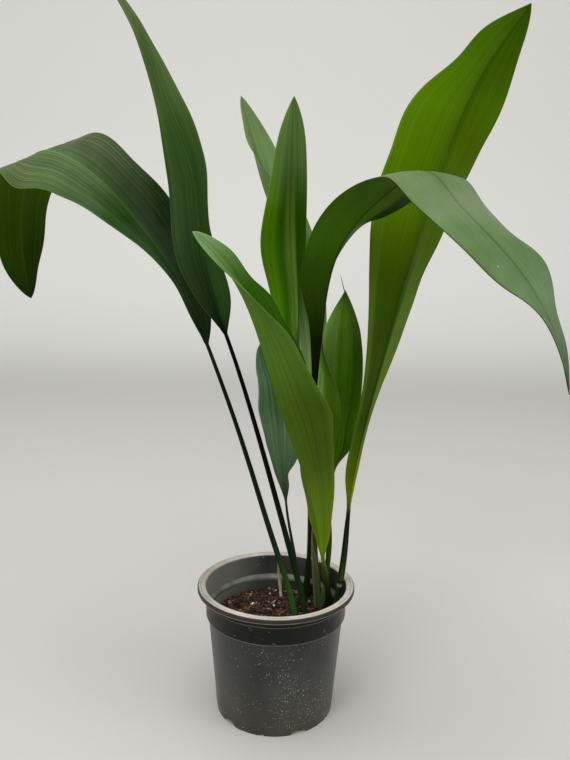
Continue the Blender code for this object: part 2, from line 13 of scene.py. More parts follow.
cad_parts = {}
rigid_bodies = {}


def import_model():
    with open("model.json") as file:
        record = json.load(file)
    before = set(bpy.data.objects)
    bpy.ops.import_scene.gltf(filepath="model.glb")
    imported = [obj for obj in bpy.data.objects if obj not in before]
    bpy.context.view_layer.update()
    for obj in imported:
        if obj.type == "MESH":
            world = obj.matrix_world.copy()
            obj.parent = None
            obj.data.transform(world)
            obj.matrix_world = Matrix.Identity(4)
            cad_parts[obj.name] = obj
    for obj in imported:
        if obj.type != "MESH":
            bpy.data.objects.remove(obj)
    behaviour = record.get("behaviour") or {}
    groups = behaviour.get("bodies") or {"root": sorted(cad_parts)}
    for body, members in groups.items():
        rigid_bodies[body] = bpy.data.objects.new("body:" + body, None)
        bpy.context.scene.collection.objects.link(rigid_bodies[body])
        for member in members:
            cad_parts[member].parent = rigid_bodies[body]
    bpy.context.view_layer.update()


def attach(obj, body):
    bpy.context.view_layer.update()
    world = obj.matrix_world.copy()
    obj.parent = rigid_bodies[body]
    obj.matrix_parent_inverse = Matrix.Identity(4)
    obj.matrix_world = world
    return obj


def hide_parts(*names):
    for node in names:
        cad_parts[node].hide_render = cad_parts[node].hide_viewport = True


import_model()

MM = 0.001
LINKED = (bpy.types.Node, bpy.types.NodeSocket)
SHADER = "Principled BSDF"

# Camera: where it stands, how it is turned, and its lens on a 36 mm long side
CAMERA_PLACE = (0.0, -0.656, 0.432)
CAMERA_PITCH = 9.4
CAMERA_YAW = 0.47
CAMERA_ROLL = 0.95
CAMERA_LENS = 34.1
SENSOR = 36.0

# Studio: the floor's sizes in metres, its colours, and each light's place, target, size and power
FLOOR_HALF_WIDTH = 6.0
FLOOR_FRONT = -4.0
FLOOR_BACK = 2.2
BACKDROP_CURVE = 1.2
BACKDROP_HEIGHT = 5.0
CURVE_STEPS = 24
FLOOR_FINISH = (0.9, 0.1)
FLOOR_COLOURS = ((196, 194, 189), (203, 201, 196))
FLOOR_MIDDLE = (0.2, 1.8)
MIDDLE_COLOUR = (198, 197, 193)
# Painted light: the paper lighter up the wall than on the floor, in place of more light falling there
WALL_START = (FLOOR_BACK - 0.7, FLOOR_BACK + BACKDROP_CURVE)
WALL_PAINTED_LIGHT_COLOUR = (243, 243, 239)
LIGHTS = {
    "overhead_light": ((-0.3, -0.4, 2.6), (0.0, 0.1, 0.3), 2.4, 36.0),
    "front_left_light": ((-1.6, -2.2, 1.7), (0.0, 0.0, 0.35), 1.6, 22.0),
    "right_light": ((2.0, -0.9, 1.3), (0.0, 0.0, 0.35), 1.4, 11.0),
}
WORLD_COLOUR = (0.98, 0.98, 0.98, 1.0)
WORLD_STRENGTH = 0.6

# Pot, as in the part
POT_HEIGHT = 125.0
RIM_RADIUS = 75.6
BAND_RADIUS = 67.4
FOOT_RADIUS = 56.4
FOOT_CHAMFER = 1.2
WALL = 1.5
WALL_TAPER = 0.087
RIM_WIDTH = 7.4
RIM_GROOVE = 3.4
LIP_DEPTH = 4.7
BEAD_HEIGHT = 113.4
BEAD_RISE = 0.8
BAND_BOTTOM = 96.1
RIDGE_HEIGHT = 10.0
RIDGE = 0.35
INSIDE_BEND = 82.0
LEDGE_TOP = 103.5
LEDGE_BOTTOM = 99.0
LEDGE_RADIUS = 62.2
FLOOR_TOP = 8.0
FLOOR_THICKNESS = 1.6
CENTRE_PAD_RADIUS = 13.0
POT_STEPS = 160
CORNER_RADIUS = 0.7
SHARP_ANGLE = 50
MERGE_DISTANCE = 0.05 * MM

# Scallops and notches in the foot ring, and the drain holes in the floor
FOOT_REPEATS = 5
SCALLOP_AZIMUTH = -66.0
SCALLOP_RADIUS = 9.5
SCALLOP_DEPTH = 5.0
SCALLOP_LENGTH = 8.0
SCALLOP_SIDES = 64
NOTCH_AZIMUTH = -101.5
NOTCH_SIZE = 3.84
DRAIN_HOLE_RADIUS = 4.5
DRAIN_HOLE_LENGTH = 6.0
DRAIN_HOLE_SIDES = 32
DRAIN_CIRCLE_RADIUS = 38.0

# Pot surfaces: a finish is (roughness, specular level), clouds are (cells per metre, detail), dust is
# (share of cells, cells per metre, colour), and a line is (half width, colour, strength). Pairs of
# heights, and of sides from left to right, are in metres.
NOISE_SPAN = (0.3, 0.7)
GRAIN_SCALE = 900.0
DUST_PATCHES = (22.0, 2.0)
DUST_SPAN = (0.42, 0.68)
BODY_FINISH = (0.36, 0.46)
BODY_CLOUDS = (18.0, 4.0)
BODY_STAINS = (45.0, 4.0)
BODY_DUST = ((0.28, 640.0, (136, 134, 124), 0.22), (0.10, 420.0, (188, 184, 168), 0.16))
BODY_COLOURS = ((20, 21, 18), (50, 51, 46))
# Painted shade on the body: heights where it goes from lighter low down to darker under the band
BODY_PAINTED_SHADE_HEIGHTS = (0.05, 0.094)
DIRT_COLOUR = (68, 60, 46)
DIRT_HEIGHTS = (0.004, 0.05)
DUST_HEIGHTS = (0.05, 0.1)
DUST_SIDES = (-0.06, 0.01)
BAND_FINISH = (0.3, 0.22)
BAND_CLOUDS = (25.0, 4.0)
BAND_DUST = (0.08, 520.0, (130, 126, 112))
# Painted highlights: pale lines along the band's lower edge and along the bead near its top
BAND_EDGE_HIGHLIGHT = (0.8, (104, 102, 92), 0.7)
BEAD_HIGHLIGHT = (0.6, (92, 88, 78), 0.7)
BAND_COLOURS = ((8, 8, 6), (22, 22, 19))
RIM_ROUGHNESS = 0.6
RIM_CLOUDS = (60.0, 5.0)
RIM_STREAKS = (500.0, 3.0)
RIM_DUST = (0.05, 500.0, (120, 108, 92))
GROOVE_LINE = (0.5, (92, 82, 68), 0.45)
RIM_COLOURS = ((188, 180, 166), (216, 208, 194))
# Painted shade: the rim's top darker towards its left side
RIM_PAINTED_SHADE_SIDES = (-0.075, -0.02)
LIP_FINISH = (0.38, 0.25)
LIP_CLOUDS = (80.0, 4.0)
# Painted shade on the lip's lower part, where it turns under, and a painted highlight along its lower edge
LIP_PAINTED_SHADE = (24, 22, 19)
LIP_EDGE_HIGHLIGHT = (0.5, (140, 130, 114), 0.8)
LIP_COLOURS = ((28, 24, 20), (58, 50, 41))
LIP_PAINTED_SHADE_HEIGHTS = (0.1195, 0.1225)
INSIDE_ROUGHNESS = 0.45
INSIDE_CLOUDS = (30.0, 5.0)
INSIDE_SPECKS = (420.0, (160, 160, 150))
INSIDE_COLOURS = ((34, 35, 33), (62, 64, 60))
FILM_COLOUR = (140, 139, 127)
FILM_SIDES = (-0.065, -0.005)
SPECK_HEIGHTS = (0.112, 0.118)
LIME_ROUGHNESS = 0.55
LIME_CLOUDS = (90.0, 5.0)
LIME_SHADE = (58, 59, 56)
LIME_COLOURS = ((106, 108, 102), (138, 140, 133))
LIME_HEIGHTS = (0.0996, 0.1012)

# Soil
GAP = 0.3
SOIL_EDGE = LEDGE_RADIUS - 0.2 - 2 * GAP
SOIL_EDGE_HEIGHT = 90.0
SOIL_MOUND = 3.5
SOIL_BUMP = 1.6
SOIL_BUMP_PITCH = 11.0
SOIL_STEPS = 120
SOIL_RINGS = 40
SOIL_SEED_OFFSET = Vector((3.1, 7.7, 0.4))
CRUMB_RELIEF = 1.5
CRUMB_PITCH = 2.6
BED_DROP = 0.4
BED_NOISE = (420.0, 4.0, 0.6)
BED_PATCHES = 90.0
EARTH_COLOURS = ((20, 14, 11), (46, 32, 25))

# Bark chips: lengths are CHIP_LEAST plus a share of CHIP_RANGE, and width and thickness are shares
# of the length. The axis of a chip's tilt is drawn from 0 to TILT_TURN radians. Kinds are dark and
# light colours, with how common each is.
CHIP_SEED = 11
CHIP_COUNT = 3400
LARGE_CHIP_COUNT = 60
CHIP_LEAST = 2.0
CHIP_RANGE = 5.4
CHIP_SPREAD = (1.1, 2.6)
LARGE_CHIP_LENGTHS = (5.0, 9.0)
CHIP_WIDTH = (0.3, 0.7)
CHIP_THICKNESS = (0.12, 0.35)
CHIP_SQUARENESS = 0.75
CHIP_JITTER = (0.75, 1.25)
CHIP_LIFT = (-0.06, 0.22)
CHIP_TILT = 40
TILT_TURN = 6.28
CHIP_KINDS = (
    ("chip_black", (16, 12, 10), (34, 25, 21), 0.26),
    ("chip_dark", (40, 26, 20), (66, 45, 34), 0.38),
    ("chip_red", (72, 45, 34), (104, 67, 52), 0.22),
    ("chip_brown", (104, 72, 54), (138, 100, 78), 0.11),
    ("chip_tan", (156, 126, 102), (190, 160, 134), 0.022),
    ("chip_pale", (208, 196, 178), (238, 230, 216), 0.006),
)

# Coir fibres
FIBRE_SEED = 5
FIBRE_COUNT = 150
FIBRE_COLOURS = ((96, 62, 44), (158, 116, 86))
FIBRE_LENGTHS = (4, 11)
FIBRE_RADII = (0.10, 0.22)
FIBRE_BEND = 0.5
FIBRE_ARCH = (0.2, 1.2)
FIBRE_LIFT = 0.7
FIBRE_EDGE = 8.0
FIBRE_POINTS = 7
FIBRE_SIDES = 5

# Leaves: how finely the visible surface is divided, and its relief
BLADE_THICKNESS = 0.7
RIB_THICKNESS = 1.5
BLADE_CURL = 0.12
STALK_STEP = 7.0
BLADE_STEP = 3.2
BLADE_COLUMNS = 64
RIB_DENSITY = 0.3
STALK_TAPER = 0.45
RIB_TAPER = 0.8
LEAST_RIB = 0.18
SPLINE_SAMPLES = 1600
SEED_STEP = 1.7
SKIN_SEED = 0.3
PLEAT_HEIGHT = 0.16
PLEAT_WAVES = (3, 5, 7, 10)
PLEAT_DRIFT = (1.5, 1.3)
PLEAT_SWELL = (0.6, 2.1)
PLEAT_FADE = 0.35
WAVE_SHIFT = 70
MARGIN_RUFFLE = 0.7
RUFFLE_WAVES = 16
RIB_GROOVE = 0.35
RIB_HALF_WIDTH = 1.3
RIB_FADE = 0.7
RIB_BELOW = 0.55
CHANNEL_DEPTH = 0.18
CHANNEL_WIDTH = 0.4
LEAST_THICKNESS = 0.02

# Leaf surfaces: the stalk's share of the UV map, where the blade's colours begin and its marks are
# full, the stripes' cells across and along and the shift of their seed, and how far from the rib its
# light line, the margin and the stalk's painted highlight stripe begin and end
SIDES = ("upper", "under")
STALK_SHARE = 0.5
BLADE_START = 0.52
BLADE_FULL = 0.55
STRIPES = ((14.0, 0.8, 0.0), (84.0, 1.2, 5.0), (190.0, 0.7, 9.0))
WIDE_SPAN = (0.32, 0.68)
FINE_SPAN = (0.36, 0.64)
LINE_SPAN = (0.55, 0.62)
FINE_LIGHT = 0.4
LINE_LIGHT = 1.6
PATCH_LIGHT = (0.94, 1.06)
# Where the patches of painted sheen, partly a dull film, begin and are full
SHEEN_AND_FILM_SPAN = (0.35, 0.75)
RIB_ACROSS = (0.004, 0.014)
MARGIN_ACROSS = (0.484, 0.496)
# Painted highlight along the middle of the stalk: where it fades out, and how much lighter it is
STALK_HIGHLIGHT_ACROSS = (0.05, 0.16)
STALK_HIGHLIGHT_GAIN = 1.3
LEAF_PATCHES = (26.0, 3.0)
LEAF_DULLNESS = (60.0, 4.0)
SPECK_CELLS = 120.0

FOLDS = ("fold_left", "fold_right")
EDGES = ("edge_left", "edge_right")

# Each leaf as in the part: spine, the azimuth its underside looks to, length of the stalk, half
# width, the outline's exponents, stalk radius, roll, folds and the margins' factors at equal
# steps from the blade's base to its tip, and margin waves
PLAIN_LEAF = dict(edge_left=(1, 1), edge_right=(1, 1), wave=(0.0, 1.0, 0))
LEAVES = {
    "leaf_left_arching": dict(
        spine=[(22, -2, 70), (18, -1, 95), (-2, 4, 161), (-32, 15, 252), (-67, 36, 343),
               (-112, 67, 428), (-137, 74, 460), (-205, 104, 525), (-266, 136, 535),
               (-277, 146, 512), (-288, 160, 442), (-280, 158, 386)],
        facing=118, stalk=300, width=48, base=0.75, tip=0.74, radius=3.1,
        roll=(5, 15, -15, -20, -40, 20),
        fold_left=(40, 35, 25, -15, 20, 10),
        fold_right=(35, 20, 50, 5, 5, 0),
        edge_left=(1, 1, 0.75, 1.1, 1.1, 1.1, 1.05, 1.05, 0.95, 1, 1.25, 1.2, 1.1, 1, 1.05, 1.2, 1.2),
        edge_right=(1, 1, 1, 1, 1, 1, 0.95, 0.9, 0.88, 0.93, 1, 1.05, 1.1, 1.12, 1.02, 0.78, 0.9),
        wave=(1.2, 4.5, 20),
    ),
    "leaf_left_upright": dict(
        spine=[(33, 5, 70), (28, 5, 96), (11, 4, 163), (-18, 16, 262), (-47, 27, 350),
               (-76, 41, 441), (-86, 56, 513), (-115, 65, 586), (-137, 70, 643), (-154, 69, 671),
               (-173, 66, 696), (-193, 62, 714)],
        facing=110, stalk=306, width=28, base=0.6, tip=1.2, radius=3.2,
        roll=(15, -35, -30, 15, -10),
        fold_left=(40, 25, 30, 35, 10),
        fold_right=(35, 50, 40, 25, 15),
        edge_left=(1, 1, 1, 0.95, 0.77, 0.57, 0.9, 0.55, 0.8),
        edge_right=(0.5, 1, 1.08, 1.05, 1.03, 1.2, 1.3, 1.15, 1.03, 0.88, 0.77, 0.65, 0.48, 0.5, 0.5, 0.55,
                    0.6),
        wave=(1.0, 4.0, 130),
    ),
    "leaf_centre_upright": dict(
        spine=[(29, 31, 70), (30, 32, 98), (34, 36, 154), (33, 40, 215), (23, 45, 296),
               (17, 52, 400), (13, 52, 453), (11, 53, 497), (10, 56, 585)],
        facing=95, stalk=158, width=33.5, base=1.15, tip=0.9, radius=2.9,
        roll=(5, -30, -30, 5, -10),
        fold_left=(30, 15, 0, 25, 5),
        fold_right=(60, 80, 60, 75, 30),
        edge_left=(1, 1, 1, 1, 1, 1.03, 1.02, 1, 1),
        edge_right=(1, 1, 1, 1, 1, 1.05, 1.05, 1.05, 1.1),
        wave=(1.2, 4.5, 60),
    ),
    "leaf_centre_back": dict(
        spine=[(33, 41, 70), (33, 44, 94), (34, 60, 143), (33, 74, 205), (29, 86, 288),
               (18, 94, 371), (0, 97, 454), (-18, 112, 503), (-43, 110, 596)],
        facing=100, stalk=120, width=36, base=1.3, tip=0.8, radius=2.9,
        roll=(0, 0, 5, 20, -5),
        fold_left=(30, 40, 55, 80, 35),
        fold_right=(30, 20, 15, 20, 20),
        edge_left=(1, 1, 1, 1, 1, 1, 1, 1, 1, 1, 1, 1, 1, 1, 1, 0.55, 0.7),
        edge_right=(1, 1, 1, 1, 1, 1, 1, 1, 1, 1, 1, 1, 1, 1, 1, 0.92, 0.85),
        wave=(1.0, 4.0, 200),
    ),
    "leaf_front_left": dict(
        spine=[(54, 10, 70), (52, 9, 98), (45, -1, 148), (32, -14, 214), (5, -35, 293),
               (-18, -57, 370), (-40, -75, 420), (-68, -94, 453)],
        facing=235, stalk=78, width=46.5, base=1.2, tip=0.8, radius=3.2,
        roll=(0, 5, -30, -40, -50),
        fold_left=(20, 50, 50, 25, 0),
        fold_right=(20, 50, 70, 45, 20),
        edge_left=(1, 1.25, 1.1, 1.1, 1.1, 1.1, 1.1, 1.1, 1.05, 1.03, 1, 1, 1, 1, 0.95, 1, 1),
        edge_right=(1, 1, 1, 0.7, 0.9, 1, 1, 1, 1, 1, 1, 1, 1, 0.75, 0.95, 1.03, 1),
        wave=(1.2, 4.0, 90),
    ),
    "leaf_right_arching": dict(
        spine=[(43, 14, 70), (42, 13, 94), (37, 12, 163), (37, 8, 235), (34, 0, 305),
               (37, -6, 361), (45, -21, 427), (60, -45, 461), (88, -66, 490), (111, -93, 500),
               (126, -110, 481), (149, -131, 452), (178, -140, 417), (195, -150, 383),
               (205, -158, 342)],
        facing=312, stalk=230, width=43.5, base=1.05, tip=1.05, radius=3.3,
        roll=(25, 25, 5, 0, 5, -20),
        fold_left=(25, 35, 15, 5, 10, 20),
        fold_right=(25, 30, 15, -5, 10, 20),
        edge_left=(1, 1, 1, 1, 1, 1, 1, 1, 1, 1, 0.93, 0.9, 0.85, 1.2, 0.7, 1, 1),
        edge_right=(1, 0.75, 0.75, 0.8, 1, 1, 1.05, 1, 1, 1, 1, 1, 1.05, 1.1, 0.85, 1, 1),
        wave=(1.2, 4.5, 150),
    ),
    "leaf_right_tall": dict(
        spine=[(53, -8, 70), (56, -6, 95), (64, 0, 142), (69, 5, 206), (81, 12, 274),
               (98, 15, 347), (114, 18, 411), (131, 14, 473), (149, 8, 538), (182, 16, 609),
               (214, 13, 656)],
        facing=280, stalk=122, width=55, base=1.4, tip=0.92, radius=3.2,
        roll=(10, 45, 40, 5, -10, -40),
        fold_left=(30, 15, 20, 45, 40, 10),
        fold_right=(30, 5, 10, 10, 15, 15),
        edge_left=(1, 1, 0.6, 0.55, 0.8, 0.92, 0.95, 1.02, 0.95, 1.05, 1.05, 1.1, 1, 1, 0.95, 0.9, 1.1),
        edge_right=(1, 1.3, 1, 1, 1, 0.98, 0.97, 0.96, 0.93, 0.95, 0.97, 0.94, 1, 0.95, 0.84, 1.12, 1.1),
        wave=(1.4, 4.5, 10),
    ),
    "leaf_right_small": dict(
        spine=[(48, 27, 70), (50, 29, 98), (52, 34, 155), (54, 38, 208), (56, 40, 245),
               (59, 40, 301), (61, 39, 359), (62, 37, 405)],
        facing=90, stalk=144, width=23.5, base=1.15, tip=0.95, radius=2.4,
        roll=(0, 0, 15, 5, -5),
        fold_left=(30, 20, 15, 10, 10),
        fold_right=(30, 20, 10, 10, 10),
        edge_left=(1, 1, 1, 1, 1, 1, 1.05, 1.1, 0.9),
        edge_right=(1, 0.6, 1, 1.35, 1.15, 1, 1, 1, 1, 1, 0.98, 0.97, 0.97, 1, 1, 1, 1),
        wave=(0.8, 3.0, 45),
    ),
    "leaf_low_left": dict(
        spine=[(26, 18, 70), (24, 20, 102), (18, 23, 143), (9, 22, 194), (6, 20, 257),
               (-4, 17, 321), (-19, 19, 354)],
        facing=90, stalk=127, width=25, base=1.35, tip=0.8, radius=2.1,
        roll=(0, -10, -5, 30, 0),
        fold_left=(30, 15, 10, 15, 10),
        fold_right=(35, 20, 10, 10, 10),
        edge_left=(1, 1, 1, 1, 0.95, 0.93, 0.95, 0.92, 0.9, 0.9, 0.95, 0.97, 0.94, 0.92, 0.93, 0.9, 1),
        edge_right=(1, 1, 0.85, 0.4, 0.75, 0.9, 1, 1, 1, 1, 1, 1, 1, 1, 1, 1, 1),
        wave=(0.8, 3.0, 100),
    ),
    "leaf_young_folded": dict(
        spine=[(44, 21, 70), (47, 20, 98), (53, 19, 161), (46, 15, 233), (47, 15, 283),
               (44, 17, 321), (36, 20, 359), (42, 22, 389)],
        facing=250, stalk=160, width=14, base=1.05, tip=1.0, radius=2.1,
        roll=(5, 5, -25, -50, -20),
        fold_left=(30, 20, 5, 10, 20),
        fold_right=(30, 35, 25, 35, 25),
        edge_right=(1, 1, 1, 1, 1, 1.1, 1.2, 1.1, 1),
        wave=(0.4, 2.0, 0),
    ),
    "young_sheath": dict(
        spine=[(44, -6, 78), (44, -6, 96), (45, -5, 112), (46, -4, 124)],
        facing=250, stalk=24, width=2.6, base=0.7, tip=0.9, radius=2.0,
        roll=(0, 0, 0),
        fold_left=(30, 30, 20),
        fold_right=(30, 30, 20),
    ),
    "dry_stub": dict(
        spine=[(6, 37, 78), (5, 37, 96), (3, 38, 114), (1, 40, 133)],
        facing=270, stalk=22, width=1.7, base=0.5, tip=0.9, radius=2.4,
        roll=(0, 30, 60),
        fold_left=(30, 45, 30),
        fold_right=(30, 45, 30),
    ),
}

# Looks of each leaf, where they differ from the plain look. Stalk is a list of (place from foot to
# blade, colour). Upper and under are lists of (place from the blade's base to its tip, colour). Bands
# are (place across from the right margin to the left one, brightness). Shine and the grey share are
# pairs for the upper and the under side: the specular level, and the share of grey laid on in patches,
# which is painted sheen where the blade meets the light at a glancing angle, and partly a dull film.
# Streaks and veins are the strengths of the broad stripes and of the thin light lines, rib and margin
# those of the light rib and margins. Gloss lowers the roughness, and specks is the share of cells with
# a pale mark. A tint is (side, from, to, right, left, colour, strength): a patch that goes along and
# across the blade. Some colours, bands and tints hold painted light and shade, marked at each leaf.
DARK_STALK = [(0, (44, 72, 28)), (0.25, (26, 44, 18)), (0.6, (16, 24, 12)), (1, (18, 28, 12))]
PLAIN_LOOK = dict(upper=[], bands=[(0, 1), (1, 1)], sheen_and_film=(0, 0), rib=0, margin=0, gloss=0,
                  specks=0, tints=[])
LOOKS = {
    "leaf_left_arching": dict(
        stalk=[(0, (52, 94, 26)), (0.12, (48, 86, 26)), (0.22, (32, 58, 20)), (0.32, (16, 28, 10)),
               (1, (6, 10, 4))],
        # Painted sheen, partly a dull film: the greyer colours from 0.5 to 0.74 along, on the crest of the
        # arch
        upper=[(0, (18, 38, 6)), (0.3, (30, 56, 14)), (0.5, (60, 81, 42)), (0.66, (72, 90, 48)),
               (0.74, (62, 88, 26)), (1, (34, 56, 10))],
        under=[(0, (52, 76, 20)), (0.6, (66, 98, 0)), (0.8, (44, 72, 2)), (1, (20, 40, 8))],
        bands=[(0, 0.95), (0.3, 0.85), (0.5, 1.15), (0.7, 1.0), (1, 1.1)],
        # The grey share on the upper side is painted sheen, partly a dull film
        shine=(0.08, 0.02), sheen_and_film=(0.06, 0.0), streaks=0.05, veins=0.55, rib=0.10, margin=0.3,
        tints=[("upper", -0.1, 0.36, 0.0, 0.46, (14, 36, 6), 0.7),
               # Painted sheen on the crest, partly a dull film
               ("upper", 0.42, 0.62, 0.1, 0.45, (72, 74, 52), 0.35),
               ("upper", 0.0, 0.3, 0.5, 1.0, (34, 66, 18), 0.4)],
    ),
    "leaf_left_upright": dict(
        stalk=[(0, (34, 62, 24)), (0.12, (34, 58, 26)), (0.25, (18, 34, 14)), (0.5, (6, 10, 4)),
               (1, (5, 9, 3))],
        upper=[(0, (22, 40, 16)), (0.2, (34, 58, 22)), (0.45, (48, 74, 27)), (0.75, (72, 92, 48)),
               (1, (112, 124, 88))],
        under=[(0, (60, 84, 28)), (0.5, (54, 78, 24)), (1, (50, 68, 26))],
        bands=[(0, 1.15), (0.35, 1.0), (0.5, 1.1), (0.65, 0.9), (1, 1.05)],
        shine=(0.05, 0.05), streaks=0.05, veins=0.28, rib=0.06, margin=0.2,
        tints=[("upper", 0.04, 0.22, -0.1, 0.42, (50, 86, 22), 0.5)],
    ),
    "leaf_centre_upright": dict(
        stalk=DARK_STALK,
        upper=[(0, (36, 76, 0)), (0.45, (42, 86, 0)), (0.7, (42, 80, 0)), (0.86, (66, 92, 34)),
               (1, (76, 104, 46))],
        under=[(0, (80, 112, 40)), (0.5, (84, 118, 40)), (1, (64, 104, 26))],
        # Painted shade: the bands darken the right half, which is folded away from the light
        bands=[(0, 0.74), (0.3, 0.58), (0.46, 0.66), (0.49, 1.25), (0.59, 1.15), (0.62, 0.82),
               (0.72, 1.15), (0.85, 1.8), (1, 2.0)],
        shine=(0.04, 0.04), streaks=0.1, veins=0.25, rib=0.1, margin=0.3, gloss=0.04,
        tints=[("upper", 0.25, 1.1, 0.46, 0.64, (94, 122, 44), 0.6),
               ("upper", 0.2, 1.1, 0.78, 1.1, (88, 130, 0), 0.45),
               ("upper", 0.78, 1.1, -0.1, 1.1, (76, 102, 52), 0.65)],
    ),
    "leaf_centre_back": dict(
        stalk=DARK_STALK,
        upper=[(0, (96, 132, 56)), (0.6, (94, 126, 52)), (0.8, (122, 150, 94)),
               (1, (110, 140, 82))],
        under=[(0, (84, 124, 42)), (0.6, (96, 144, 48)), (1, (80, 112, 48))],
        shine=(0.1, 0.1), sheen_and_film=(0.06, 0.0), streaks=0.06, veins=0.12, rib=0.1, margin=0.15, gloss=0.04,
        # Painted light: a pale patch over the lower blade, which the leaves in front shade
        tints=[("upper", -0.1, 0.42, -0.1, 1.1, (184, 216, 148), 0.85)],
    ),
    "leaf_front_left": dict(
        stalk=[(0, (24, 36, 10)), (0.6, (34, 44, 12)), (0.85, (44, 56, 12)), (1, (84, 108, 12))],
        # Partly painted sheen: the greyer colours at the tip, on both sides
        upper=[(0, (40, 74, 0)), (0.5, (38, 76, 0)), (0.8, (48, 90, 0)), (0.92, (94, 128, 68)),
               (1, (120, 148, 104))],
        under=[(0, (94, 124, 8)), (0.1, (84, 110, 22)), (0.25, (66, 90, 22)),
               (0.6, (62, 90, 20)), (0.85, (60, 92, 28)), (1, (112, 142, 84))],
        bands=[(0, 1.1), (0.3, 0.92), (0.5, 1.1), (0.7, 0.95), (0.92, 1.0), (1, 1.15)],
        shine=(0.04, 0.02), streaks=0.09, veins=0.3, rib=0.06, margin=0.1, gloss=-0.1,
        tints=[("under", 0.55, 0.95, 0.4, 1.1, (88, 122, 42), 0.5)],
    ),
    "leaf_right_arching": dict(
        stalk=[(0, (84, 80, 44)), (0.25, (72, 72, 30)), (0.5, (38, 46, 18)),
               (0.8, (16, 22, 6)), (1, (16, 22, 4))],
        upper=[(0, (70, 100, 40)), (0.55, (84, 110, 56)), (0.85, (74, 106, 52)),
               (1, (46, 76, 26))],
        # Painted shade: the under side near-black at its base
        under=[(0, (10, 16, 0)), (0.1, (18, 30, 0)), (0.22, (44, 76, 0)), (0.32, (60, 98, 0)),
               (0.5, (56, 86, 0)), (1, (48, 78, 12))],
        bands=[(0, 1.05), (0.47, 1.0), (0.49, 0.55), (0.51, 0.55), (0.53, 1.0), (1, 1.05)],
        # The grey share on the upper side is painted sheen
        shine=(0.35, 0.03), sheen_and_film=(0.24, 0.0), streaks=0.06, veins=0.14, specks=0.09,
        # Painted shade: near-black patches along the margin at 0.8 to 1.1 across, near the base, on both
        # sides
        tints=[("under", -0.1, 0.5, 0.8, 1.1, (12, 18, 0), 0.8),
               ("upper", 0.2, 0.4, 0.84, 1.1, (22, 34, 6), 0.8)],
    ),
    "leaf_right_tall": dict(
        stalk=[(0, (26, 46, 14)), (0.435, (26, 42, 14)), (0.45, (124, 132, 88)),
               (0.465, (22, 36, 12)), (1, (16, 26, 8))],
        upper=[(0, (64, 98, 8)), (1, (56, 90, 8))],
        # Partly painted light: the under side lighter from 0.6 to 0.8 along, for light shining through the
        # blade
        under=[(0, (84, 98, 6)), (0.04, (72, 92, 0)), (0.09, (60, 84, 2)), (0.16, (46, 68, 0)),
               (0.45, (48, 76, 0)), (0.6, (76, 108, 0)), (0.8, (68, 100, 0)), (1, (44, 72, 0))],
        bands=[(0, 1.2), (0.25, 1.1), (0.46, 0.95), (0.5, 0.8), (0.54, 0.95), (0.8, 0.95),
               (1, 1.1)],
        shine=(0.05, 0.02), streaks=0.07, veins=0.22, gloss=-0.1,
        tints=[("under", 0.1, 0.5, 0.64, 1.1, (96, 128, 40), 0.6),
               ("under", -0.1, 0.1, 0.6, 1.1, (156, 164, 20), 0.6),
               ("under", 0.15, 0.5, -0.1, 0.12, (84, 116, 20), 0.5),
               ("under", 0.55, 0.92, 0.42, 0.6, (36, 66, 0), 0.25)],
    ),
    "leaf_right_small": dict(
        stalk=[(0, (34, 60, 22)), (1, (26, 52, 10))],
        upper=[(0, (78, 122, 0)), (0.6, (90, 140, 0)), (0.85, (102, 148, 26)), (1, (56, 92, 0))],
        under=[(0, (80, 116, 28)), (1, (72, 112, 24))],
        bands=[(0, 1.1), (0.25, 0.85), (0.5, 1.1), (0.75, 1.0), (1, 1.3)],
        shine=(0.14, 0.1), streaks=0.06, veins=0.1, rib=0.08, margin=0.2, gloss=0.2,
        # Painted highlight: a bright patch towards the tip, near the left margin
        tints=[("upper", 0.45, 0.9, 0.6, 1.1, (140, 182, 76), 0.6),
               ("upper", 0.1, 0.9, -0.1, 0.24, (44, 84, 0), 0.6)],
    ),
    "leaf_low_left": dict(
        stalk=[(0, (24, 42, 18)), (1, (12, 22, 10))],
        upper=[(0, (34, 60, 30)), (0.3, (66, 98, 60)), (0.7, (82, 117, 75)), (1, (57, 88, 49))],
        under=[(0, (60, 86, 50)), (1, (60, 86, 50))],
        bands=[(0, 0.9), (0.4, 0.75), (0.5, 1.2), (0.6, 0.8), (1, 1.1)],
        shine=(0.34, 0.2), sheen_and_film=(0.05, 0.0), streaks=0.15, veins=0.4, rib=0.12, margin=0.1, gloss=0.12,
    ),
    "leaf_young_folded": dict(
        stalk=[(0, (36, 62, 22)), (1, (54, 84, 16))],
        upper=[(0, (60, 98, 4)), (0.5, (76, 118, 14)), (1, (104, 144, 54))],
        under=[(0, (70, 106, 0)), (0.5, (90, 130, 20)), (1, (124, 162, 80))],
        bands=[(0, 1.2), (0.5, 0.9), (1, 1.1)],
        shine=(0.08, 0.05), streaks=0.06, veins=0.12, margin=0.2, gloss=0.04,
        tints=[("under", 0.05, 0.95, -0.1, 0.22, (140, 176, 100), 0.6)],
    ),
    "young_sheath": dict(
        stalk=[(0, (34, 54, 22)), (1, (40, 66, 26))],
        upper=[(0, (40, 66, 26)), (1, (60, 90, 40))],
        under=[(0, (40, 66, 26)), (1, (60, 90, 40))],
        shine=(0.2, 0.2), streaks=0.05, veins=0.1,
    ),
    "dry_stub": dict(
        stalk=[(0, (240, 216, 196)), (0.4, (226, 202, 182)), (1, (196, 172, 152))],
        upper=[(0, (196, 172, 152)), (1, (130, 106, 90))],
        under=[(0, (196, 172, 152)), (1, (124, 100, 84))],
        bands=[(0, 0.8), (0.4, 1.1), (1, 0.9)],
        shine=(0.2, 0.2), streaks=0.25, veins=0.2, gloss=-0.3,
    ),
}
RIB_COLOUR = (112, 134, 62)
MARGIN_COLOUR = (124, 148, 70)
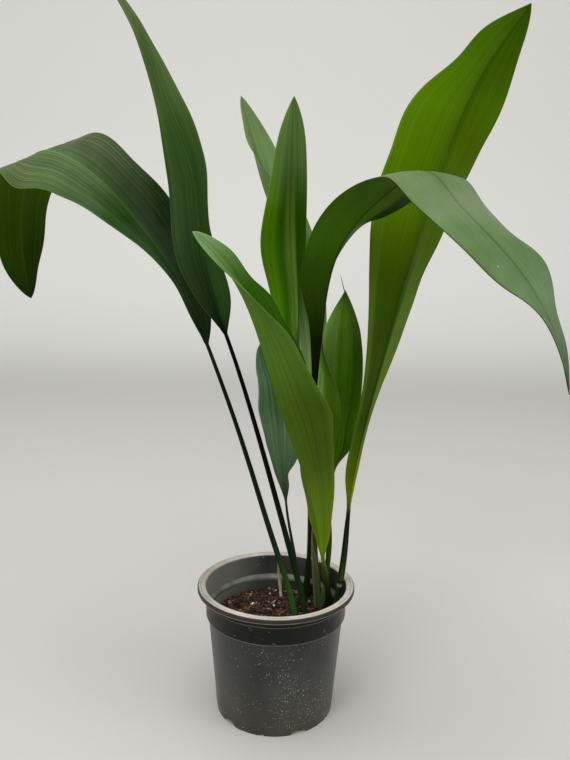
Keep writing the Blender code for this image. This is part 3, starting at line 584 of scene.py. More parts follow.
# Grey of the painted sheen, which is partly a dull film
SHEEN_AND_FILM_COLOUR = (132, 140, 122)
SPECK_COLOUR = (196, 206, 150)
LEAF_ROUGHNESS = 0.46
TINT_EDGE = 0.05
UNDER_LINES = 0.5

# Sheaths round three stalks: where each begins and ends as shares of the stalk, how much shorter it
# is on its low side, the azimuth of its tip, how far it stands off the stalk, and its look
SHEATHS = {
    "leaf_front_left": dict(
        low=0.3, high=1.04, slant=0.12, azimuth=250, off=1.1,
        look=dict(
            stalk=[(0, (24, 36, 12)), (0.5, (36, 48, 14)), (0.85, (52, 66, 18)), (1, (78, 96, 22))],
            shine=(0.1, 0.1), streaks=0.2, veins=0.6, gloss=-0.1,
        ),
    ),
    "leaf_right_arching": dict(
        low=0.1, high=0.47, slant=0.55, azimuth=200, off=0.9,
        look=dict(
            stalk=[(0, (54, 66, 30)), (0.5, (66, 78, 38)), (0.9, (72, 78, 42)), (1, (40, 36, 20))],
            shine=(0.15, 0.15), streaks=0.25, veins=0.5, gloss=-0.1,
            tints=[("upper", -1.1, 0.1, -0.1, 0.12, (132, 104, 84), 0.7)],
        ),
    ),
    "leaf_right_tall": dict(
        low=0.48, high=1.1, slant=0.2, azimuth=0, off=0.6,
        look=dict(
            stalk=[(0, (28, 40, 10)), (0.3, (18, 26, 6)), (0.9, (13, 18, 5)), (1, (8, 10, 5))],
            shine=(0.05, 0.05), streaks=0.4, veins=1.4, gloss=-0.1,
        ),
    ),
}
SHEATH_ROWS = 30
SHEATH_SIDES = 28
SHEATH_EDGE = 0.2
SHEATH_POINT = 0.7
SHEATH_SEED_STEP = 2.3

# Thread of dry leaf at the tip of the small right leaf
THREAD = [(62, 37, 403), (60, 37, 408), (58.5, 37, 414), (57, 37, 419)]
THREAD_RADIUS = 0.6
THREAD_POINTS = 14
THREAD_SIDES = 6
THREAD_COLOURS = ((44, 36, 34), (78, 66, 60))


def srgb(colour):
    """Linear RGBA from an sRGB colour of 0 to 255."""
    parts = [channel / 255 for channel in colour]
    linear = [c / 12.92 if c <= 0.04045 else ((c + 0.055) / 1.055) ** 2.4 for c in parts]
    return (*linear, 1.0)


def connect(value, socket):
    """Link a node or a socket to an input, or set the input to a value."""
    if isinstance(value, bpy.types.Node):
        value = value.outputs[0]
    if isinstance(value, bpy.types.NodeSocket):
        socket.id_data.links.new(value, socket)
    else:
        socket.default_value = value


def add_node(kind, inputs, tree=None, **settings):
    """Add a node, to the tree of its inputs, which are values, sockets or nodes."""
    if tree is None:
        tree = next(value.id_data for value in inputs.values() if isinstance(value, LINKED))
    made = tree.nodes.new(kind)
    for name, value in settings.items():
        setattr(made, name, value)
    for name, value in inputs.items():
        connect(value, made.inputs[name])
    return made


def calculate(operation, *values):
    """A sum or other operation on values, sockets or nodes."""
    return add_node("ShaderNodeMath", dict(enumerate(values)), operation=operation)


def times(product, *factors):
    """The product of values, sockets or nodes."""
    for factor in factors:
        product = calculate("MULTIPLY", product, factor)
    return product


def blend(amount, first, second, mode="MIX"):
    """Mix two colours, each an sRGB tuple, a socket or a node."""
    first, second = (srgb(shade) if isinstance(shade, tuple) else shade for shade in (first, second))
    inputs = {0: amount, 6: first, 7: second}
    return add_node("ShaderNodeMix", inputs, data_type="RGBA", blend_type=mode).outputs[2]


def between(value, low, high, to_low=0.0, to_high=1.0):
    """Smooth step of a value from low to high."""
    inputs = {"Value": value, "From Min": low, "From Max": high, "To Min": to_low, "To Max": to_high}
    return add_node("ShaderNodeMapRange", inputs, interpolation_type="SMOOTHSTEP")


def brighten(colour, factor):
    """Multiply a colour by a number."""
    return add_node("ShaderNodeVectorMath", {0: colour, "Scale": factor}, operation="SCALE")


def varied(colour, value, low, high, least, most):
    """Brighten a colour by least to most as a value goes from low to high."""
    return brighten(colour, between(value, low, high, least, most))


def ramp(value, stops):
    """Colour ramp through (place, linear colour) stops."""
    made = add_node("ShaderNodeValToRGB", {0: value})
    elements = made.color_ramp.elements
    while len(elements) < len(stops):
        elements.new(0.5)
    for element, (place, colour) in zip(elements, stops):
        element.position = place
        element.color = colour
    return made


def noise_at(vector, scale, detail=2.0, roughness=0.5, dimensions="3D"):
    inputs = {"Vector": vector, "Scale": scale, "Detail": detail, "Roughness": roughness}
    return add_node("ShaderNodeTexNoise", inputs, noise_dimensions=dimensions)


def start_material(name, roughness=0.5, specular=0.5):
    """A new material, the place on the object in metres, and that place's parts."""
    material = bpy.data.materials.new(name)
    material.use_nodes = True
    tree = material.node_tree
    shader = tree.nodes[SHADER]
    shader.inputs["Roughness"].default_value = roughness
    shader.inputs["Specular IOR Level"].default_value = specular
    solid = add_node("ShaderNodeTexCoord", {}, tree).outputs["Object"]
    return material, solid, add_node("ShaderNodeSeparateXYZ", {0: solid}).outputs


def finish_material(material, colour, roughness=None, height=None, strength=0.3, distance=0.4):
    """Connect colour, roughness and bump to the shader. Distance is in millimetres."""
    inputs = material.node_tree.nodes[SHADER].inputs
    connect(colour, inputs["Base Color"])
    if roughness is not None:
        connect(roughness, inputs["Roughness"])
    if height is not None:
        bump = {"Strength": strength, "Distance": distance * MM, "Height": height}
        connect(add_node("ShaderNodeBump", bump), inputs["Normal"])
    return material


def specks(solid, scale, share, size, soft, strength):
    """Amount of small specks, in the given share of cells."""
    cells = add_node("ShaderNodeTexVoronoi", {"Vector": solid, "Scale": scale}).outputs
    chance = add_node("ShaderNodeSeparateColor", {0: cells["Color"]})
    near = between(cells["Distance"], size, size + soft, strength, 0.0)
    return times(calculate("LESS_THAN", chance, share), near)


# Leaf material: UV is (across, along), with the stalk in the lower half and the blade above it

def along_stops(look, side):
    stalk = [(STALK_SHARE * place, srgb(colour)) for place, colour in look["stalk"]]
    blade = [(BLADE_START + (1 - BLADE_START) * place, srgb(colour)) for place, colour in look[side]]
    return stalk + blade


def stripes(uv, across, along, seed):
    """Noise drawn out along the leaf."""
    inputs = {"Vector": uv, "Location": (seed, seed, 0), "Scale": (across, along, 1)}
    return noise_at(add_node("ShaderNodeMapping", inputs), 1.0, 1.0, dimensions="2D")


def window(value, low, high):
    """One from low to high and zero beyond them, with soft edges."""
    return times(between(value, low - TINT_EDGE, low + TINT_EDGE),
                 between(value, high - TINT_EDGE, high + TINT_EDGE, 1.0, 0.0))


def tinted(colour, across, along, low, high, right, left, shade, amount):
    """Tint a patch of the blade."""
    low, high = (STALK_SHARE + (1 - STALK_SHARE) * place for place in (low, high))
    patch = times(window(along, low, high), window(across, right, left), amount)
    return blend(patch, colour, shade)


def leaf_material(name, side, look, seed):
    """Striped, veined leaf surface with a rib, pale margins, grey patches of painted sheen that is partly a
    dull film, a painted highlight along the stalk, and small marks.
    """
    look = PLAIN_LOOK | look
    shine, sheen_and_film = (look[key][SIDES.index(side)] for key in ("shine", "sheen_and_film"))
    material, solid, _ = start_material(f"{name}_{side}", LEAF_ROUGHNESS, shine)
    uv = add_node("ShaderNodeUVMap", {}, material.node_tree, uv_map="blade")
    across, along, _ = add_node("ShaderNodeSeparateXYZ", {0: uv}).outputs
    on_blade = between(along, STALK_SHARE, BLADE_FULL)
    colour = ramp(along, along_stops(look, side))
    half = ramp(across, [(place, (v / 2, v / 2, v / 2, 1)) for place, v in look["bands"]])
    colour = blend(on_blade, colour, blend(1.0, colour, brighten(half, 2.0), "MULTIPLY"))
    for tint_side, *tint in look["tints"]:
        if tint_side == side:
            colour = tinted(colour, across, along, *tint)
    wide, fine, line = (stripes(uv, *cells, seed + shift) for *cells, shift in STRIPES)
    share = 1.0 if side == "upper" else UNDER_LINES
    streaks, veins = look["streaks"] * share, look["veins"] * share
    colour = varied(colour, wide, *WIDE_SPAN, 1 - streaks, 1 + streaks)
    colour = varied(colour, fine, *FINE_SPAN, 1 - FINE_LIGHT * veins, 1 + FINE_LIGHT * veins)
    colour = varied(colour, line, *LINE_SPAN, 1.0, 1 + LINE_LIGHT * veins)
    patches = noise_at(solid, *LEAF_PATCHES)
    colour = varied(colour, patches, *NOISE_SPAN, *PATCH_LIGHT)
    # Painted sheen, partly a dull film: grey laid over the blade in patches
    colour = blend(times(between(patches, *SHEEN_AND_FILM_SPAN), sheen_and_film, on_blade), colour, SHEEN_AND_FILM_COLOUR)
    from_rib = calculate("ABSOLUTE", calculate("SUBTRACT", across, 0.5))
    rib = between(from_rib, *RIB_ACROSS, look["rib"], 0.0)
    colour = blend(times(rib, on_blade), colour, RIB_COLOUR)
    edge = between(from_rib, *MARGIN_ACROSS, 0.0, look["margin"])
    colour = blend(times(edge, on_blade), colour, MARGIN_COLOUR)
    # Painted highlight along the middle of the stalk
    colour = stalk_highlight(colour, from_rib, on_blade)
    if look["specks"]:
        marks = specks(solid, SPECK_CELLS, look["specks"], 0.05, 0.06, 0.7)
        colour = blend(marks, colour, SPECK_COLOUR)
    rough = LEAF_ROUGHNESS - look["gloss"]
    dull = between(noise_at(solid, *LEAF_DULLNESS), *NOISE_SPAN, rough - 0.05, rough + 0.08)
    relief = calculate("ADD", times(fine, 0.7), times(line, 0.3))
    return finish_material(material, colour, dull, relief)


def stalk_highlight(colour, from_rib, on_blade):
    """Painted highlight: a lighter stripe along the middle of the stalk, between two dark edges."""
    middle = between(from_rib, *STALK_HIGHLIGHT_ACROSS, 1.0, 0.0)
    amount = times(middle, calculate("SUBTRACT", 1.0, on_blade))
    return blend(amount, colour, brighten(colour, STALK_HIGHLIGHT_GAIN))


# Leaf shape, with the same formulas as the part

def curve_through(places, values, wanted):
    """Natural cubic curve through values given at places, read at the wanted places."""
    places = np.asarray(places, float)
    values = np.asarray(values, float)
    column = (-1,) + (1,) * (values.ndim - 1)
    count = len(places)
    step = np.diff(places)
    slope = np.diff(values, axis=0) / step.reshape(column)
    matrix = np.eye(count)
    right = np.zeros_like(values)
    for i in range(1, count - 1):
        matrix[i, i - 1:i + 2] = (step[i - 1], 2 * (step[i - 1] + step[i]), step[i])
        right[i] = 6 * (slope[i] - slope[i - 1])
    bend = np.linalg.solve(matrix, right)
    wanted = np.clip(wanted, places[0], places[-1])
    i = np.clip(np.searchsorted(places, wanted) - 1, 0, count - 2)
    a = ((places[i + 1] - wanted) / step[i]).reshape(column)
    b = ((wanted - places[i]) / step[i]).reshape(column)
    cubic = (a**3 - a) * bend[i] + (b**3 - b) * bend[i + 1]
    return a * values[i] + b * values[i + 1] + cubic * (step[i] ** 2).reshape(column) / 6


def lengths_along(points):
    return np.concatenate([[0.0], np.cumsum(np.linalg.norm(np.diff(points, axis=0), axis=1))])


def read_along(wanted, places, vectors):
    """Vectors given at places, read at the wanted places."""
    return np.stack([np.interp(wanted, places, vectors[:, k]) for k in range(3)], -1)


def unit(vectors):
    """The vectors at a length of one."""
    return vectors / np.linalg.norm(vectors, axis=1)[:, None]


def key_curve(keys, part):
    """Smooth curve through keys at equal steps from the blade's base to its tip."""
    return curve_through(np.linspace(0, 1, len(keys)), keys, part)


def leaf_frame(leaf):
    """Spine points with their directions across and out of the blade, and the place along it."""
    knots = np.asarray(leaf["spine"], float) * MM
    knot_lengths = lengths_along(knots)
    fine = curve_through(knot_lengths, knots, np.linspace(0, knot_lengths[-1], SPLINE_SAMPLES))
    places = lengths_along(fine)
    total = places[-1]
    stalk = leaf["stalk"] * MM
    low = np.linspace(0.0, stalk, max(6, round(stalk / (STALK_STEP * MM))), endpoint=False)
    high = np.linspace(stalk, total, max(12, round((total - stalk) / (BLADE_STEP * MM))))
    wanted = np.concatenate([low, high])
    centre = read_along(wanted, places, fine)
    along = unit(read_along(wanted, places, np.gradient(fine, places, axis=0)))
    facing = math.radians(leaf["facing"])
    level = np.array([-math.sin(facing), math.cos(facing), 0.0])
    across = unit(level - (along @ level)[:, None] * along)
    out = np.cross(along, across)
    part = (wanted - stalk) / (total - stalk)
    roll = np.radians(key_curve(leaf["roll"], part))[:, None]
    turned_across = across * np.cos(roll) + out * np.sin(roll)
    turned_out = out * np.cos(roll) - across * np.sin(roll)
    return centre, turned_across, turned_out, part, wanted / stalk


def outline(leaf, part):
    """Half width of the blade in metres, zero on the stalk and at the tip."""
    inside = np.clip(part, 0.0, 1.0)
    widest = leaf["base"] / (leaf["base"] + leaf["tip"])
    shape = (inside / widest) ** leaf["base"] * ((1 - inside) / (1 - widest)) ** leaf["tip"]
    return leaf["width"] * MM * shape


def stalk_radius(leaf, part, stalk_part):
    """Radius of the stalk, and of the rib that it becomes, in metres."""
    taper = 1.0 - STALK_TAPER * np.clip(stalk_part, 0.0, 1.0)
    return leaf["radius"] * MM * taper * np.clip(1.0 - RIB_TAPER * part, LEAST_RIB, 1.0)


def per_side(s, left, right):
    """Rows by columns, from what the rows have on their left and right side."""
    return np.where(s[None, :] >= 0, left[:, None], right[:, None])


def smooth_noise(values, seed):
    """One-dimensional noise between about -1 and 1."""
    return np.array([noise.noise(Vector((value, seed, 0.5 * seed))) for value in values])


def leaf_surfaces(leaf, seed):
    """Points of the upper and under side, each as rows along the leaf by columns across."""
    centre, across, out, part, stalk_part = leaf_frame(leaf)
    even = np.linspace(-1, 1, BLADE_COLUMNS + 1)
    s = even * (RIB_DENSITY + (1 - RIB_DENSITY) * np.abs(even))
    side = np.where(s >= 0, 1, -1)
    blade = outline(leaf, part)
    stalk = stalk_radius(leaf, part, stalk_part)
    flat = np.clip((blade - 0.5 * stalk) / (3 * stalk), 0.0, 1.0)
    fold = per_side(s, *(np.radians(key_curve(leaf[key], part)) * flat for key in FOLDS))
    half = per_side(s, *((blade**3 * key_curve(leaf[key], part) ** 3 + stalk**3) ** (1 / 3)
                         for key in EDGES))
    reach = np.abs(s)[None, :] * half
    height = reach * np.sin(fold)
    height -= BLADE_CURL * half * (s**2)[None, :] * flat[:, None]
    height += margin_lift(leaf, part, s, blade, seed)
    height += pleats(s, part, seed) * flat[:, None]
    surface = (centre[:, None, :] + across[:, None, :] * (side * reach * np.cos(fold))[:, :, None]
               + out[:, None, :] * height[:, :, None])
    above, below = half_thickness(s, part, stalk, flat, reach)
    upper = surface + out[:, None, :] * above[:, :, None]
    under = surface - out[:, None, :] * below[:, :, None]
    v = np.where(part < 0, STALK_SHARE * stalk_part, STALK_SHARE + (1 - STALK_SHARE) * part)
    return upper, under, (s + 1) / 2, v


def margin_lift(leaf, part, s, blade, seed):
    """Waves of the blade's margins, and a finer ruffle on them."""
    rise, waves, phase = leaf["wave"]
    lift = np.zeros((len(part), len(s)))
    for sign in (1, -1):
        turn = 2 * math.pi * waves * part + math.radians(phase + WAVE_SHIFT * sign)
        ruffle = MARGIN_RUFFLE * smooth_noise(part * RUFFLE_WAVES, seed + 3 * sign) * min(1.0, rise)
        wave = (rise * np.sin(turn) + ruffle) * MM * blade / (leaf["width"] * MM)
        lift += wave[:, None] * np.where(s * sign > 0, np.abs(s) ** 3, 0)[None, :]
    return lift


def pleats(s, part, seed):
    """Soft lengthwise pleats across the blade."""
    total = np.zeros((len(part), len(s)))
    for k, waves in enumerate(PLEAT_WAVES):
        drift = PLEAT_DRIFT[0] * smooth_noise(part * PLEAT_DRIFT[1] + 7 * k, seed + k)
        swell = PLEAT_SWELL[0] * (1 + smooth_noise(part * PLEAT_SWELL[1] + 3 * k, seed + 11 + k))
        turn = 2 * math.pi * waves * s[None, :] + drift[:, None] + seed * (k + 1)
        total += PLEAT_HEIGHT * MM * swell[:, None] * np.cos(turn) / (1 + PLEAT_FADE * k)
    return total * (1 - np.abs(s) ** 6)[None, :]


def half_thickness(s, part, stalk, flat, reach):
    """Thickness above and below the middle surface, round on the stalk and thin on the blade."""
    margin = BLADE_THICKNESS * MM / 2
    round_stalk = stalk[:, None] * np.sqrt(np.clip(1 - s**2, 0, 1))[None, :] + 0.1 * margin
    near_rib = np.exp(-((reach / (RIB_HALF_WIDTH * MM)) ** 2))
    rib = near_rib * (1 - RIB_FADE * np.clip(part, 0, 1))[:, None] * MM
    channel = 1 - CHANNEL_DEPTH * np.exp(-((s / CHANNEL_WIDTH) ** 2))[None, :]
    k = flat[:, None]
    above = (1 - k) * round_stalk * channel + k * (margin - RIB_GROOVE * rib)
    below = (1 - k) * round_stalk + k * (margin + RIB_BELOW * RIB_THICKNESS * rib)
    return np.maximum(above, LEAST_THICKNESS * MM), np.maximum(below, margin)


def ring_mesh(name, rings, across, along, slots=None, wrapped=False):
    """Mesh through equal rings of points, capped at its ends or wrapped from the last to the first."""
    rows, count = rings.shape[:2]
    i = (np.arange(rows if wrapped else rows - 1) * count)[:, None]
    after = (i + count) % (rows * count)
    k = np.arange(count)[None, :]
    n = (k + 1) % count
    faces = np.stack([i + k, i + n, after + n, after + k], axis=-1).reshape(-1, 4).tolist()
    if not wrapped:
        faces += [list(range(count))[::-1], list(range((rows - 1) * count, rows * count))]
    mesh = bpy.data.meshes.new(name)
    mesh.from_pydata(rings.reshape(-1, 3).tolist(), [], faces)
    if slots is not None:
        mesh.polygons.foreach_set("material_index", slots.astype(np.int32))
    uv = mesh.uv_layers.new(name="blade")
    corners = np.empty(len(mesh.loops), np.int32)
    mesh.loops.foreach_get("vertex_index", corners)
    pairs = np.stack([across[corners % count], along[corners // count]], axis=1)
    uv.data.foreach_set("uv", pairs.astype(np.float32).ravel())
    mesh.validate()
    mesh.shade_smooth()
    return mesh


def leaf_mesh(name, leaf, seed):
    """Closed mesh of a leaf: upper side in the first material, under side in the second."""
    upper, under, across, along = leaf_surfaces(leaf, seed)
    rows, columns = upper.shape[:2]
    rings = np.concatenate([upper, under[:, ::-1]], axis=1)
    slots = np.where(np.arange(2 * columns) < columns - 1, 0, 1)
    slots = np.concatenate([np.tile(slots, rows - 1), [1, 1]])
    return ring_mesh(name, rings, np.concatenate([across, across[::-1]]), along, slots)


def ride_along(piece, node=None):
    """Fix a piece to the plant, in the place of a node if one is given."""
    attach(piece, "root")
    if node:
        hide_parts(node)


def add_object(name, data):
    made = bpy.data.objects.new(name, data)
    bpy.context.scene.collection.objects.link(made)
    return made


def make_leaves():
    for seed, (name, leaf) in enumerate(LEAVES.items()):
        mesh = leaf_mesh(f"{name}_skin", PLAIN_LEAF | leaf, SEED_STEP * seed + SKIN_SEED)
        for side in SIDES:
            mesh.materials.append(leaf_material(name, side, LOOKS[name], SEED_STEP * seed))
        ride_along(add_object(f"{name}_skin", mesh), node=name)


def sheath_mesh(name, leaf, sheath):
    """Closed thin shell round a stalk, with a slanted top that ends in a tip."""
    centre, across, out, part, stalk_part = leaf_frame(leaf)
    turns = np.linspace(0, 2 * math.pi, SHEATH_SIDES, endpoint=False)
    azimuth = math.radians(sheath["azimuth"])
    towards = np.array([math.cos(azimuth), math.sin(azimuth), 0.0])
    from_tip = turns - math.atan2(out[0] @ towards, across[0] @ towards)
    reach = 1 - sheath["slant"] * ((1 - np.cos(from_tip)) / 2) ** SHEATH_POINT
    share = np.linspace(0, 1, SHEATH_ROWS)
    place = sheath["low"] + (sheath["high"] - sheath["low"]) * share[:, None] * reach[None, :]
    radius = np.interp(place, stalk_part, stalk_radius(leaf, part, stalk_part))
    off = sheath["off"] * MM * (1 - share[:, None] ** 4) + SHEATH_EDGE * MM
    middle, level, away = (read_along(place, stalk_part, axes) for axes in (centre, across, out))
    ring = level * np.cos(turns)[None, :, None] + away * np.sin(turns)[None, :, None]
    outer = middle + ring * (radius + off)[:, :, None]
    inner = middle + ring * (radius + 0.3 * SHEATH_EDGE * MM)[:, :, None]
    along = np.concatenate([share, share[::-1]]) * STALK_SHARE
    away_from_tip = np.abs((from_tip + math.pi) % (2 * math.pi) - math.pi) / math.pi
    return ring_mesh(name, np.concatenate([outer, inner[::-1]]), away_from_tip, along, wrapped=True)


def make_sheaths():
    for seed, (name, sheath) in enumerate(SHEATHS.items()):
        mesh = sheath_mesh(f"{name}_sheath", LEAVES[name], sheath)
        mesh.materials.append(leaf_material(f"{name}_sheath", "upper", sheath["look"],
                                            SHEATH_SEED_STEP * seed))
        ride_along(add_object(f"{name}_sheath", mesh))


def add_tube(bm, rings):
    """Faces of a tube through rings of corners, with both ends closed."""
    rings = [[bm.verts.new(corner) for corner in ring] for ring in rings]
    for low, high in zip(rings, rings[1:]):
        for k in range(len(low)):
            n = (k + 1) % len(low)
            bm.faces.new((low[k], low[n], high[n], high[k]))
    bm.faces.new(rings[0][::-1])
    bm.faces.new(rings[-1])


def mesh_from(bm, name):
    mesh = bpy.data.meshes.new(name)
    bm.to_mesh(mesh)
    bm.free()
    return mesh


def make_thread():
    """The thin dry thread at the tip of the small right leaf."""
    knots = np.asarray(THREAD, float) * MM
    places = lengths_along(knots)
    points = curve_through(places, knots, np.linspace(0, places[-1], THREAD_POINTS))
    rings = []
    for k, point in enumerate(points):
        radius = THREAD_RADIUS * MM * (1 - 0.75 * k / (THREAD_POINTS - 1))
        rings.append([Vector(point) + Vector((radius * math.cos(a), radius * math.sin(a), 0))
                      for a in np.linspace(0, 2 * math.pi, THREAD_SIDES, endpoint=False)])
    bm = bmesh.new()
    add_tube(bm, rings)
    mesh = mesh_from(bm, "leaf_tip_thread")
    mesh.shade_smooth()
    material, solid, _ = start_material("dry_thread", 0.8)
    colour = blend(noise_at(solid, 300.0), *THREAD_COLOURS)
    mesh.materials.append(finish_material(material, colour))
    ride_along(add_object("leaf_tip_thread", mesh))


# Pot

def wall_radius(height):
    return FOOT_RADIUS + 0.1 + WALL_TAPER * height


def pot_profile():
    """Closed profile of the pot: outside down, underside in, inside up."""
    rim, band, pad, ledge = RIM_RADIUS, BAND_RADIUS, CENTRE_PAD_RADIUS, LEDGE_RADIUS
    top, bead = POT_HEIGHT, BEAD_HEIGHT
    lip = top - LIP_DEPTH
    ridge = wall_radius(RIDGE_HEIGHT)
    outside = [
        (rim - RIM_WIDTH + 0.6, top),
        (rim - RIM_GROOVE - 0.5, top),
        (rim - RIM_GROOVE, top - 0.35),
        (rim - RIM_GROOVE + 0.5, top),
        (rim - 1.2, top - 0.1),
        (rim - 0.2, top - 0.7),
        (rim, top - 1.6),
        (rim, lip + 0.4),
        (rim - 0.5, lip),
        (rim - 1.8, lip),
        (band + 2.6, lip - 1.2),
        (band + 0.4, lip - 4.6),
        (band, bead + 0.9),
        (band + BEAD_RISE, bead + 0.4),
        (band + BEAD_RISE, bead - 0.4),
        (band, bead - 0.9),
        (band, BAND_BOTTOM + 0.3),
        (band - 0.4, BAND_BOTTOM - 0.5),
        (wall_radius(BAND_BOTTOM - 1.3) + 0.2, BAND_BOTTOM - 1.3),
        (ridge, RIDGE_HEIGHT + 0.6),
        (ridge + RIDGE, RIDGE_HEIGHT),
        (ridge - 0.1, RIDGE_HEIGHT - 0.6),
        (wall_radius(FOOT_CHAMFER), FOOT_CHAMFER),
        (FOOT_RADIUS, 0.0),
    ]
    inner_foot = FOOT_RADIUS - WALL
    ceiling = FLOOR_TOP - FLOOR_THICKNESS
    underside = [
        (inner_foot, 0.0),
        (inner_foot + 0.3, ceiling),
        (pad + 2.2, ceiling),
        (pad, 0.0),
        (0.0, 0.0),
    ]
    inner_floor = wall_radius(FLOOR_TOP) - WALL
    inner_rim = rim - RIM_WIDTH
    inside = [
        (0.0, FLOOR_THICKNESS),
        (pad - 1.0, FLOOR_THICKNESS),
        (pad + 1.2, FLOOR_TOP),
        (inner_floor - 1.0, FLOOR_TOP),
        (inner_floor, FLOOR_TOP + 1.0),
        (ledge - 0.2, INSIDE_BEND),
        (ledge, LEDGE_BOTTOM),
        (ledge + 3.0, LEDGE_TOP),
        (inner_rim - 0.8, top - 3.0),
        (inner_rim - 0.4, top - 0.8),
    ]
    return outside + underside + inside


def rounded(profile):
    """Round each corner of a closed profile, except on the axis and under the foot."""
    points = [np.array(point) for point in profile]
    result = []
    for k, corner in enumerate(points):
        if 0.0 in corner:
            result.append(tuple(corner))
            continue
        ends = []
        for neighbour in (points[k - 1], points[(k + 1) % len(points)]):
            arm = neighbour - corner
            length = np.linalg.norm(arm)
            ends.append(corner + arm / length * min(CORNER_RADIUS, 0.45 * length))
        middle = 0.25 * ends[0] + 0.5 * corner + 0.25 * ends[1]
        result += [tuple(point) for point in (ends[0], middle, ends[1])]
    return result


def turned(name, profile, steps):
    """Turn a profile of (radius, height) points in millimetres about the Z axis."""
    bm = bmesh.new()
    verts = [bm.verts.new((radius * MM, 0.0, height * MM)) for radius, height in profile]
    for pair in zip(verts, verts[1:]):
        bm.edges.new(pair)
    piece = add_object(name, mesh_from(bm, name))
    screw = piece.modifiers.new("turn", "SCREW")
    screw.axis = "Z"
    screw.steps = steps
    screw.render_steps = steps
    screw.use_merge_vertices = True
    screw.merge_threshold = MERGE_DISTANCE
    bake_modifiers(piece)
    bm = bmesh.new()
    bm.from_mesh(piece.data)
    bmesh.ops.recalc_face_normals(bm, faces=bm.faces)
    bm.to_mesh(piece.data)
    bm.free()
    return piece


def bake_modifiers(piece):
    bpy.context.view_layer.update()
    evaluated = piece.evaluated_get(bpy.context.evaluated_depsgraph_get())
    finished = bpy.data.meshes.new_from_object(evaluated)
    piece.modifiers.clear()
    piece.data = finished


def foot_cutters():
    """Cutters of the scallops, the small notches and the drain holes."""
    scallop = dict(vertices=SCALLOP_SIDES, radius=SCALLOP_RADIUS * MM, depth=SCALLOP_LENGTH * MM)
    hole = dict(vertices=DRAIN_HOLE_SIDES, radius=DRAIN_HOLE_RADIUS * MM, depth=DRAIN_HOLE_LENGTH * MM)
    notch = dict(size=NOTCH_SIZE * MM)
    cylinder = bpy.ops.mesh.primitive_cylinder_add
    cube = bpy.ops.mesh.primitive_cube_add
    group = bpy.data.collections.new("foot_cutters")
    for repeat in range(FOOT_REPEATS):
        step = repeat * 360.0 / FOOT_REPEATS
        scallops, notches = math.radians(SCALLOP_AZIMUTH + step), math.radians(NOTCH_AZIMUTH + step)
        on_side = (math.pi / 2, 0, scallops + math.pi / 2)
        add_cutter(group, cylinder, scallops, FOOT_RADIUS, SCALLOP_DEPTH - SCALLOP_RADIUS, on_side, scallop)
        add_cutter(group, cube, notches, FOOT_RADIUS, 0.0, (0, 0, notches), notch)
        add_cutter(group, cylinder, scallops, DRAIN_CIRCLE_RADIUS, FLOOR_TOP, (0, 0, 0), hole)
    return group


def add_cutter(group, make, angle, radius, height, rotation, sizes):
    place = Vector((radius * math.cos(angle), radius * math.sin(angle), height)) * MM
    make(location=place, rotation=rotation, **sizes)
    cutter = bpy.context.object
    for owner in list(cutter.users_collection):
        owner.objects.unlink(cutter)
    group.objects.link(cutter)


def cut_with(piece, cutters):
    """Cut a collection's objects out of the piece, and delete them."""
    cut = piece.modifiers.new("cut", "BOOLEAN")
    cut.operation = "DIFFERENCE"
    cut.operand_type = "COLLECTION"
    cut.collection = cutters
    cut.solver = "EXACT"
    bake_modifiers(piece)
    for cutter in list(cutters.objects):
        bpy.data.objects.remove(cutter, do_unlink=True)


def pot_surface(centre, normal):
    """Which of POT_MAKERS makes the surface that a face belongs to."""
    radius = math.hypot(centre.x, centre.y) / MM
    height = centre.z / MM
    inner_rim = RIM_RADIUS - RIM_WIDTH
    outward = (normal.x * centre.x + normal.y * centre.y) / max(1e-9, radius * MM)
    if height > POT_HEIGHT - 1.4 and radius > inner_rim - 0.9 and normal.z > 0.25:
        return rim_material
    if height > POT_HEIGHT - 7.4 and radius > BAND_RADIUS + 2.0:
        return lip_material
    if height > FLOOR_TOP - 0.5 and outward < 0.1 and radius < inner_rim + 0.3:
        on_ledge = LEDGE_BOTTOM - 0.4 < height < LEDGE_TOP + 0.4
        return ledge_material if on_ledge else inside_material
    return band_material if height > BAND_BOTTOM - 1.0 else body_material


def dusted(solid, colour, share, scale, shade, size=0.2):
    """Scatter small specks over a colour, more of them in some patches."""
    patches = between(noise_at(solid, *DUST_PATCHES), *DUST_SPAN, 0.1, 2.0)
    return blend(specks(solid, scale, times(patches, share), size, 0.12, 0.8), colour, shade)


def thin_line(colour, value, middle, half_width, shade, strength):
    """A thin line where a value in metres is near the middle, given in millimetres: painted highlights
    along the pot's edges, and the dark line along the rim's groove.
    """
    off = calculate("ABSOLUTE", calculate("SUBTRACT", value, middle * MM))
    return blend(between(off, 0.5 * half_width * MM, half_width * MM, strength, 0.0), colour, shade)


